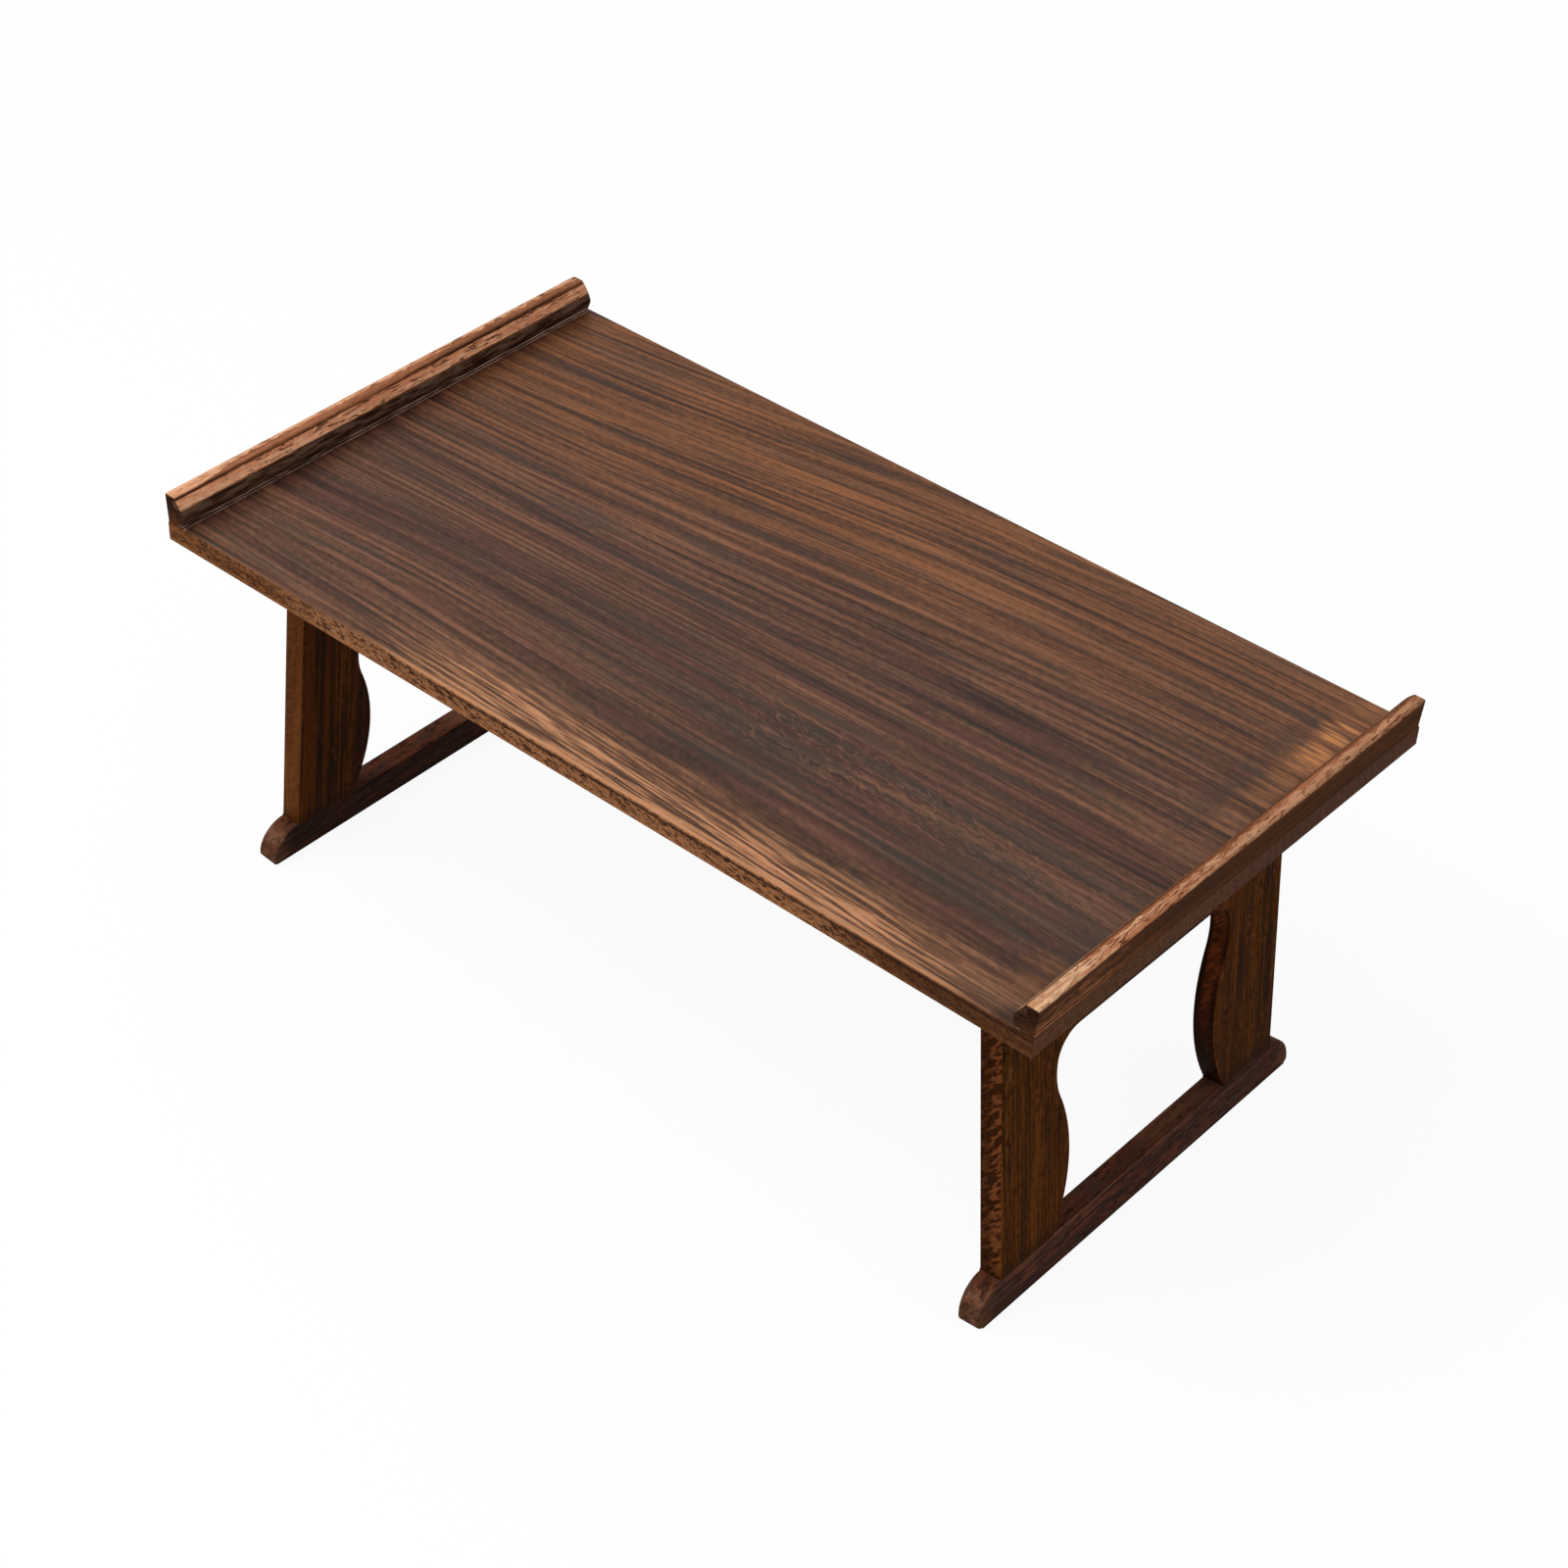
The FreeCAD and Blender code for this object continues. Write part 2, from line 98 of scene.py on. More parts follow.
@dataclass(frozen=True)
class Wire:
    """One output of a node. Arithmetic on a number adds Math nodes."""

    graph: "Graph"
    socket: bpy.types.NodeSocket | None

    __add__ = __radd__ = arithmetic("ADD")
    __sub__ = arithmetic("SUBTRACT")
    __rsub__ = arithmetic("SUBTRACT", swapped=True)
    __mul__ = __rmul__ = arithmetic("MULTIPLY")
    __truediv__ = arithmetic("DIVIDE")
    __pow__ = arithmetic("POWER")

    def __abs__(self) -> "Wire":
        """Size of this number without its sign."""
        return self.graph.maths("ABSOLUTE", self, 0.0)

    def between(self, low: float, high: float) -> "Wire":
        """Rises smoothly from 0 at low to 1 at high, or falls where high is the lower."""
        if low > high:
            return 1.0 - self.between(high, low)
        return self.graph.add("ShaderNodeMapRange", {"interpolation_type": "SMOOTHSTEP"},
                              {"Value": self, "From Min": low, "From Max": high}, "Result")

    def window(self, low: float, high: float, soft: float) -> "Wire":
        """Is 1 from low to high and fades to 0 over soft at each end."""
        return self.between(low - soft, low) * self.between(high + soft, high)


class Graph:
    """Adds nodes to one node tree."""

    def __init__(self, tree: bpy.types.NodeTree) -> None:
        """Takes over a tree and empties it."""
        self.tree = tree
        tree.nodes.clear()

    @staticmethod
    def find(sockets: Any, key: str) -> bpy.types.NodeSocket:
        """Finds the socket of a node that has an identifier, or else a name."""
        return next((s for s in sockets if s.identifier == key), None) or sockets[key]

    def add(self, kind: str, settings: Mapping[str, Any] | None = None,
            inputs: Mapping[str, Any] | None = None, output: str | None = None) -> Wire:
        """Adds one node.

        Args:
            kind: Blender's name for the node's type.
            settings: Properties of the node, set before its sockets. A ramp's stops go under "stops".
            inputs: Values or wires for its sockets, by identifier or name.
            output: Output to hand back, or None for the first.

        Returns:
            The chosen output.
        """
        node = self.tree.nodes.new(kind)
        for name, value in (settings or {}).items():
            if name == "stops":
                self.set_stops(node.color_ramp, value)
            else:
                setattr(node, name, value)
        for name, value in (inputs or {}).items():
            socket = self.find(node.inputs, name)
            if isinstance(value, Wire):
                self.tree.links.new(value.socket, socket)
            else:
                socket.default_value = value
        if not node.outputs:
            return Wire(self, None)
        return Wire(self, self.find(node.outputs, output) if output else node.outputs[0])

    @staticmethod
    def set_stops(ramp: bpy.types.ColorRamp, stops: Mapping[float, Colour]) -> None:
        """Gives a colour ramp its stops.

        Args:
            ramp: Ramp of a new node, with its two first stops.
            stops: Colour at each position, lowest first.
        """
        while len(ramp.elements) < len(stops):
            ramp.elements.new(0.5)
        for element, (position, colour) in zip(ramp.elements, stops.items()):
            element.position = position
            element.color = colour

    def maths(self, operation: str, first: Number, second: Number) -> Wire:
        """Adds a Math node with two values."""
        return self.add("ShaderNodeMath", {"operation": operation}, {"Value": first, "Value_001": second})

    def mix(self, share: Number, first: Any, second: Any) -> Wire:
        """Mixes two colours, where share tells how much of the second one shows."""
        return self.add("ShaderNodeMix", {"data_type": "RGBA", "clamp_factor": True},
                        {"Factor_Float": share, "A_Color": first, "B_Color": second}, "Result_Color")

    def point(self, x: Number, y: Number, z: Number) -> Wire:
        """Joins three numbers into a vector."""
        return self.add("ShaderNodeCombineXYZ", None, {"X": x, "Y": y, "Z": z})

    def noise(self, x: Number, y: Number, z: Number, detail: float = 2.0, roughness: float = 0.5,
              warp: float = 0.0) -> Wire:
        """Cloudy noise of about 0.5 on average, with features about one unit across."""
        return self.add("ShaderNodeTexNoise", {"noise_dimensions": "3D"},
                        {"Vector": self.point(x, y, z), "Scale": 1.0, "Detail": detail,
                         "Roughness": roughness, "Distortion": warp}, "Fac")

    def output(self, shader: Wire, kind: str = "ShaderNodeOutputMaterial") -> None:
        """Ends the tree in its output node."""
        self.add(kind, None, {"Surface": shader})


@dataclass(frozen=True)
class Spot:
    """Place of a shaded point on the table in millimetres, and the way it faces."""

    graph: Graph
    place: Wire
    facing: Wire

    @classmethod
    def read(cls, graph: Graph) -> "Spot":
        """Reads the point in the table's own frame, so that it moves with the piece."""
        return cls(graph, graph.add("ShaderNodeTexCoord", None, None, "Object"),
                   graph.add("ShaderNodeTexCoord", None, None, "Normal"))

    def along(self, axis: Triple, start: Triple = (0.0, 0.0, 0.0)) -> Wire:
        """Measures in millimetres how far the point lies from a start along a unit axis."""
        reach = self.graph.add("ShaderNodeVectorMath", {"operation": "DOT_PRODUCT"},
                               {"Vector": self.place, "Vector_001": Vector(axis) * 1000}, "Value")
        return reach - Vector(axis).dot(Vector(start))

    @cached_property
    def axes(self) -> tuple[Wire, Wire, Wire]:
        """Distances of the point along X, Y and Z in millimetres."""
        return self.along(X_AXIS), self.along(Y_AXIS), self.along(Z_AXIS)

    def towards(self, axis: Triple) -> Wire:
        """Tells how much the surface faces an axis, from -1 to 1."""
        return self.graph.add("ShaderNodeVectorMath", {"operation": "DOT_PRODUCT"},
                              {"Vector": self.facing, "Vector_001": Vector(axis)}, "Value")


# Wood


@dataclass(frozen=True)
class Bend:
    """Part of a board where the grain climbs sideways as it runs. Lengths are in millimetres.

    Attributes:
        climb: How far the grain climbs.
        run: Where along the board it starts to climb and where it stops.
        across: Where across the board the climb starts to show and where it shows in full.
    """

    climb: float
    run: Span
    across: Span


@dataclass(frozen=True)
class Grain:
    """How one board was cut from its log. Lengths are in millimetres.

    Attributes:
        start: Point of the board where its grain is measured from.
        along: Direction of the grain.
        across: Direction across the board's face.
        pith: Place of the log's centre, across and through from start.
        spacing: Distance between growth rings.
        taper: Growth of a ring's radius for each millimetre along the board.
        wander: How far the rings stray from a circle.
        seed: Shift that gives each board its own streaks.
        stretch: Length of its streaks against those of a short board.
        bends: Places where the grain climbs.
        curl: Wave of the fibres in a curly patch.
        curl_place: Middle of that patch, along and across.
        curl_reach: Half length and half width of that patch.
    """

    start: Triple
    along: Triple
    across: Triple
    pith: Span
    spacing: float
    taper: float = 0.02
    wander: float = 8.0
    seed: float = 0.0
    stretch: float = 1.0
    bends: tuple[Bend, ...] = ()
    curl: float = 0.0
    curl_place: Span = (0.0, 0.0)
    curl_reach: Span = (1.0, 1.0)

    @property
    def through(self) -> Triple:
        """Direction through the board's thickness."""
        return tuple(Vector(self.along).cross(Vector(self.across)))


@dataclass(frozen=True)
class Figure:
    """What the wood does at a point.

    Attributes:
        run: Distance along the grain.
        wide: Distance across the face.
        level: The same without a curly patch's wave.
        deep: Distance through the thickness.
        late: Is 1 in the dark part of a growth ring.
        fine: Fine fibre streaks.
        broad: Streaks a few millimetres wide.
        cloud: Bands of tone that run the length of the board.
        speck: Small patches of the brushed surface.
        veins: Is 1 in a thin light line and -1 in a dark one.
        pore: Is 1 in an open pore.
    """

    run: Wire
    wide: Wire
    level: Wire
    deep: Wire
    late: Wire
    fine: Wire
    broad: Wire
    cloud: Wire
    speck: Wire
    veins: Wire
    pore: Wire

    @classmethod
    def grow(cls, spot: Spot, grain: Grain) -> "Figure":
        """Works the figure out from a board's rings and fibres.

        Args:
            spot: Point that is shaded.
            grain: How the board was cut.

        Returns:
            The figure at that point.
        """
        graph = spot.graph
        run = spot.along(grain.along, grain.start)
        wide = spot.along(grain.across, grain.start)
        deep = spot.along(grain.through, grain.start)
        straight = wide
        for bend in grain.bends:
            wide = wide - run.between(*bend.run) * straight.between(*bend.across) * bend.climb
        level = wide
        if grain.curl:
            (middle, centre), (long, wide_reach) = grain.curl_place, grain.curl_reach
            patch = (run.window(middle - long, middle + long, 50.0)
                     * straight.window(centre - wide_reach, centre + wide_reach, 20.0))
            wave = graph.noise(run / 9.0, straight / 7.0, grain.seed, 1.0, 0.5) - 0.5
            wide = wide + patch * wave * grain.curl

        def streaks(length: float, width: float, detail: float, shift: float) -> Wire:
            """Noise drawn out along the grain, of a length and a width in millimetres."""
            place = run / (length * grain.stretch) + (grain.seed + shift)
            return graph.noise(place, wide / width, deep / width, detail, 0.6)

        from_pith_wide = wide - grain.pith[0]
        from_pith_deep = deep - grain.pith[1]
        radius = (from_pith_wide * from_pith_wide + from_pith_deep * from_pith_deep) ** 0.5
        stray = streaks(190.0, 42.0, 2.0, 3.1) - 0.5
        ripple = streaks(34.0, 9.0, 1.0, 7.7) - 0.5
        radius = radius + run * grain.taper + stray * grain.wander + ripple * (grain.wander * 0.12)
        phase = graph.maths("FRACT", radius / grain.spacing, 0.0)
        cloud = streaks(300.0, 12.0, 1.0, 23.0)
        late = (phase.between(0.25, 0.85) * phase.between(1.0, 0.9)
                * (0.35 + cloud.between(0.35, 0.62) * 0.65))
        speck = graph.noise(run / 6.0 + wide / 7.0, wide / 2.8, deep / 2.8, 2.0, 0.6)
        vein = streaks(380.0, 9.0, 1.0, 37.0)
        faint = streaks(120.0, 12.0, 1.0, 43.0)
        dark_vein = abs(vein - 0.46).between(0.034, 0.01) * faint.between(0.42, 0.54)
        light_vein = abs(vein - 0.55).between(0.026, 0.008) * faint.between(0.58, 0.46)
        return cls(run, wide, level, deep, late, fine=streaks(34.0, 1.7, 3.0, 11.0),
                   broad=streaks(130.0, 5.2, 2.0, 17.0), cloud=cloud, speck=speck,
                   veins=light_vein - dark_vein, pore=streaks(3.6, 0.42, 1.0, 29.0).between(0.6, 0.7))


@dataclass
class Coat:
    """Colour of a wood at a point, laid on in layers.

    Attributes:
        spot: The point.
        figure: The wood's figure there.
        tone: Its tone there.
        colour: Colour so far.
    """

    spot: Spot
    figure: Figure
    tone: Wire
    colour: Wire | None = None

    def lay(self, share: Number, colour: Any) -> None:
        """Mixes a share of a colour over what is there."""
        self.colour = self.spot.graph.mix(share, self.colour, colour)


@dataclass(frozen=True)
class Tones:
    """Colours of a scorched and brushed wood.

    Attributes:
        valley: Scorched bottom of the brushed grooves.
        body: The wood's usual colour.
        crest: Rubbed ridges between the grooves.
    """

    valley: Colour
    body: Colour
    crest: Colour


@dataclass(frozen=True)
class WoodFinish:
    """Scorched wood, brushed so that its hard rings stand proud.

    Attributes:
        tones: The three colours.
        ring_depth: How much the rings darken the wood.
        fine_depth: How much the fine fibres change its tone.
        broad_depth: How much the broader streaks change its tone.
        cloud_depth: How much whole bands change their tone.
        speck_depth: How much the small patches change their tone.
        vein_depth: How much the thin lines darken or lighten it.
        relief: Depth of the brushed grooves in metres.
        relief_strength: How strongly they bend the light.
        gloss: Constant specular level.
        roughness: Usual roughness.
        wax: How much wax lies on faces that look up.
        wax_roughness: Roughness of the wax.
        steps: Tones at which the valley, the body and the crest show in full.
        pore_depth: How much the pores darken the wood.
    """

    tones: Tones
    ring_depth: float = 0.2
    fine_depth: float = 0.55
    broad_depth: float = 1.0
    cloud_depth: float = 0.9
    speck_depth: float = 0.7
    vein_depth: float = 0.24
    relief: float = 0.0003
    relief_strength: float = 0.4
    gloss: float = 0.03
    roughness: float = 0.55
    wax: float = 0.0
    wax_roughness: float = 0.38
    steps: Triple = (0.16, 0.5, 0.86)
    pore_depth: float = 0.55

    def tone(self, figure: Figure) -> Wire:
        """Adds up ring, fibre, band and line into one tone, 0 in a valley and 1 on a crest."""
        return (0.5 + (0.42 - figure.late) * self.ring_depth + (figure.fine - 0.5) * self.fine_depth
                + (figure.broad - 0.5) * self.broad_depth + (figure.cloud - 0.5) * self.cloud_depth
                + (figure.speck - 0.5) * self.speck_depth + figure.veins * self.vein_depth)

    def paint(self, coat: Coat) -> None:
        """Colours the wood by its tone. Woods with worn or scorched places lay them over this.

        Args:
            coat: Colour to start.
        """
        stops = dict(zip(self.steps, astuple(self.tones)))
        coat.colour = coat.spot.graph.add("ShaderNodeValToRGB", {"stops": stops},
                                          {"Fac": coat.tone}, "Color")
        coat.lay(coat.figure.pore * self.pore_depth, self.tones.valley)

    def material(self, name: str, grain: Grain) -> bpy.types.Material:
        """Makes the material of one board.

        Args:
            name: Name of the material.
            grain: How the board was cut.

        Returns:
            The new material.
        """
        made = bpy.data.materials.new(name)
        made.use_nodes = True
        graph = Graph(made.node_tree)
        spot = Spot.read(graph)
        figure = Figure.grow(spot, grain)
        coat = Coat(spot, figure, self.tone(figure))
        self.paint(coat)
        upward = spot.towards(Z_AXIS).between(0.75, 0.98)
        height = coat.tone - figure.pore * 0.5
        bump = graph.add("ShaderNodeBump", None,
                         {"Strength": self.relief_strength, "Distance": self.relief, "Height": height})
        rough = self.roughness + (figure.fine - 0.5) * 0.3 + figure.late * 0.08
        shader = graph.add("ShaderNodeBsdfPrincipled", None,
                           {"Base Color": coat.colour, "Roughness": rough, "Normal": bump,
                            "Specular IOR Level": self.gloss,
                            "Coat Roughness": self.wax_roughness,
                            "Coat Weight": upward * (self.wax + (figure.broad - 0.5) * (self.wax * 0.8))})
        graph.output(shader)
        return made


@dataclass(frozen=True)
class TopFinish(WoodFinish):
    """Wood of the top: striped, warm at the back, worn along the front and by the right lip.

    Runs lie along the table and rows across it, in millimetres from its middle. Where only one end of a
    mark is soft, they give where it starts and where it is full.

    Attributes:
        warm: Lighter wood at the back.
        warm_dark: Darker wood at the back.
        worn: Bared threads of the front band, and its rim, which is rubbed and also carries a painted
            highlight.
        rubbed: Wood between those threads.
        tan: Rubbed patches beside the right lip.
        slate: Dusky bands.
        mauve: Reddish bands.
        edge: Lighter wood of the sawn edges.
        edge_dark: Darker wood of the sawn edges.
        scorch: Singed places, and the painted shade in a band beside the foot of each lip.
        soot: Smudge in the near corner.
        olive: Dark arcs of the curly patch.
        curl: Light arcs of the curly patch.
        glint: Painted reflection, a pale line along the foot of the left lip.
    """

    warm: Colour = shade(160, 99, 56)
    warm_dark: Colour = shade(72, 43, 26)
    worn: Colour = shade(212, 150, 106)
    rubbed: Colour = shade(136, 90, 60)
    tan: Colour = shade(214, 142, 86)
    slate: Colour = shade(66, 56, 46)
    mauve: Colour = shade(104, 62, 52)
    edge: Colour = shade(146, 90, 46)
    edge_dark: Colour = shade(62, 32, 15)
    scorch: Colour = shade(44, 20, 13)
    soot: Colour = shade(46, 28, 9)
    olive: Colour = shade(52, 44, 33)
    curl: Colour = shade(158, 108, 86)
    glint: Colour = shade(196, 158, 140)
    dusk_rows: Span = (-124.0, -56.0)
    curly_run: Span = (50.0, 290.0)
    curly_rows: Span = (-92.0, -66.0)
    front_rows: Span = (-140.0, -180.0)
    front_run: Span = (-60.0, 205.0)
    rim_run: Span = (-100.0, 250.0)
    tan_start_run: Span = (304.0, 320.0)
    tan_end_run: Span = (335.0, 324.0)
    singe_run: Span = (-306.0, -332.0)
    soot_middle: Span = (333.0, -186.0)

    def paint(self, coat: Coat) -> None:
        """Colours the planks in steps, from the bands of the grain to the sawn edges.

        Args:
            coat: Colour so far.
        """
        super().paint(coat)
        graph, (x, y, z) = coat.spot.graph, coat.spot.axes
        blotch = graph.noise(x / 110.0, coat.figure.level / 9.0, 4.0, 2.0, 0.55)
        drift = (graph.noise(x / 90.0, y / 9.0, 9.0) - 0.5) * 22.0
        upper = z.between(TOP_SURFACE - 2.5, TOP_SURFACE - 1.0)
        self.stripe(coat, blotch)
        self.wear_front(coat, upper, drift)
        self.mark_ends(coat, upper, drift, blotch)
        self.saw_edges(coat)

    def stripe(self, coat: Coat, blotch: Wire) -> None:
        """Warms the back, lays the mauve and dusky bands, and curls the grain near the front.

        Args:
            coat: Colour so far.
            blotch: Broad cloudy patches.
        """
        graph, (x, y, _) = coat.spot.graph, coat.spot.axes
        warmth = (y - x * 0.12).between(0.0, 130.0) * (0.6 + x.between(260.0, -100.0) * 0.4)
        amber = graph.mix(coat.tone.between(0.15, 0.85), self.warm_dark, self.warm)
        coat.lay(warmth * (0.4 + blotch.between(0.62, 0.4) * 0.5), amber)
        coat.lay(blotch.between(0.46, 0.34) * (1.0 - warmth) * 0.45, self.mauve)
        dusk = y.window(*self.dusk_rows, 14.0) * x.between(-150.0, 120.0)
        dull = (blotch + dusk * 0.1).between(0.48, 0.72) * (0.6 - warmth * 0.4) + dusk * 0.12
        coat.lay(dull, self.slate)
        curly = x.window(*self.curly_run, 45.0) * (y + (blotch - 0.5) * 40.0).window(*self.curly_rows, 14.0)
        arcs = graph.noise(x / 12.0, y / 3.6 + x / 16.0, 12.0, 2.0, 0.55, 1.4)
        coat.lay(curly * arcs.between(0.47, 0.36) * 0.4, self.olive)
        coat.lay(curly * arcs.between(0.55, 0.66) * 0.32, self.curl)

    def wear_front(self, coat: Coat, upper: Wire, drift: Wire) -> None:
        """Bares light threads along the front, darkens the grooves between them and wears the rim.

        Args:
            coat: Colour so far.
            upper: Is 1 on the upper face.
            drift: Slow shift of a border.
        """
        tone, (x, y, _) = coat.tone, coat.spot.axes
        thread = coat.spot.graph.noise(x / 60.0, coat.figure.level / 2.2, 9.0, 2.5, 0.65)
        front = upper * (y + drift).between(*self.front_rows) * x.window(*self.front_run, 150.0)
        coat.lay(front * (0.2 + tone * 0.5), self.rubbed)
        bared = (thread + front * 0.045).between(0.49, 0.61) * (0.3 + tone * 1.15)
        coat.lay(front * bared, self.worn)
        coat.lay(front * thread.between(0.46, 0.37) * 0.6, self.tones.valley)
        # The rounded front rim is rubbed and also lit with a painted highlight.
        rim = upper * y.between(-185.0, -187.3) * x.window(-330.0, 290.0, 20.0)
        coat.lay(rim * (0.12 + x.window(*self.rim_run, 90.0) * 0.7), self.worn)

    def mark_ends(self, coat: Coat, upper: Wire, drift: Wire, blotch: Wire) -> None:
        """Rubs patches by the right lip, singes the strip by the left one and smudges a corner.

        Args:
            coat: Colour so far.
            upper: Is 1 on the upper face.
            drift: Slow shift of a border.
            blotch: Broad cloudy patches.
        """
        graph, (x, y, _) = coat.spot.graph, coat.spot.axes
        tongue = (graph.noise(x / 40.0, y / 3.4, 2.0, 2.0, 0.6) - 0.5) * 26.0
        stripe = graph.noise(x / 60.0, y / 3.6, 6.0, 2.0, 0.6).between(0.4, 0.6)
        strong = (y.window(136.0, 157.0, 5.0) + y.window(107.0, 127.0, 7.0) * 0.85
                  + y.window(-160.0, -134.0, 14.0) * 0.16)
        patch = upper * (x + tongue).between(*self.tan_start_run) * x.between(*self.tan_end_run)
        patch = patch * (y.between(-60.0, 90.0) * stripe * 0.3 + strong * (0.15 + stripe * 0.75))
        slate_row = upper * x.window(297.0, 303.0, 7.0) * (y + tongue).window(30.0, 150.0, 25.0)
        coat.lay(slate_row * 0.28, self.slate)
        coat.lay(patch, self.tan)

        lip_foot = LENGTH_HALF - LIP_WIDTH
        singe = x.between(*self.singe_run) * (0.3 + blotch.between(0.4, 0.6) * 0.25)
        singe = singe + x.between(-140.0, -260.0) * y.between(-140.0, -90.0) * 0.09
        # Singed strip by the left lip, plus painted shade in a band beside the foot of each lip.
        coat.lay(upper * (singe + abs(x).between(lip_foot - 5.0, lip_foot) * 0.3), self.scorch)
        far, wide = x - self.soot_middle[0], y - self.soot_middle[1]
        corner = far ** 2.0 + wide ** 2.0 + (drift + tongue) * 7.0
        coat.lay(upper * corner.between(250.0, 60.0) * 0.6, self.soot)
        # Painted reflection: a pale broken line on the top along the foot of the left lip.
        line = abs(abs(x) - (lip_foot - 1.6)).between(1.1, 0.3)
        broken = graph.noise(y / 16.0, x / 4.0, 7.0, 2.0, 0.6).between(0.38, 0.58)
        coat.lay(upper * line * x.between(0.0, -1.0) * (0.35 + broken * 0.5), self.glint)

    def saw_edges(self, coat: Coat) -> None:
        """Gives the sawn edges their mottled faces and the front one its singed line.

        Args:
            coat: Colour so far.
        """
        graph, (x, y, z) = coat.spot.graph, coat.spot.axes
        flank = abs(coat.spot.towards(Y_AXIS)).between(0.55, 0.9)
        mottle = graph.noise(x / 5.0 + z / 4.0, y / 2.0, z / 1.9, 2.0, 0.6, 1.2).between(0.42, 0.56)
        mottle = mottle * (0.4 + y.between(60.0, -60.0) * 0.6)
        low = z.window(UNDERSIDE + 1.0, UNDERSIDE + 3.0, 1.5) * 0.6
        lively = 0.3 + x.between(290.0, 150.0) * 0.6
        face = graph.mix(mottle * lively + low * lively, self.edge_dark, self.edge)
        face = graph.mix(mottle * x.window(-200.0, 190.0, 60.0) * 0.4, face, self.worn)
        coat.lay(flank * 0.85, face)
        line = z.window(TOP_SURFACE - 3.2, TOP_SURFACE - 2.0, 0.7) * x.between(-200.0, -60.0)
        coat.lay(line * flank * 0.8, self.scorch)
        end = abs(coat.spot.towards(X_AXIS)).between(0.55, 0.9)
        coat.lay(end * 0.9, graph.mix(0.06 + mottle * 0.32, self.edge_dark, self.edge))


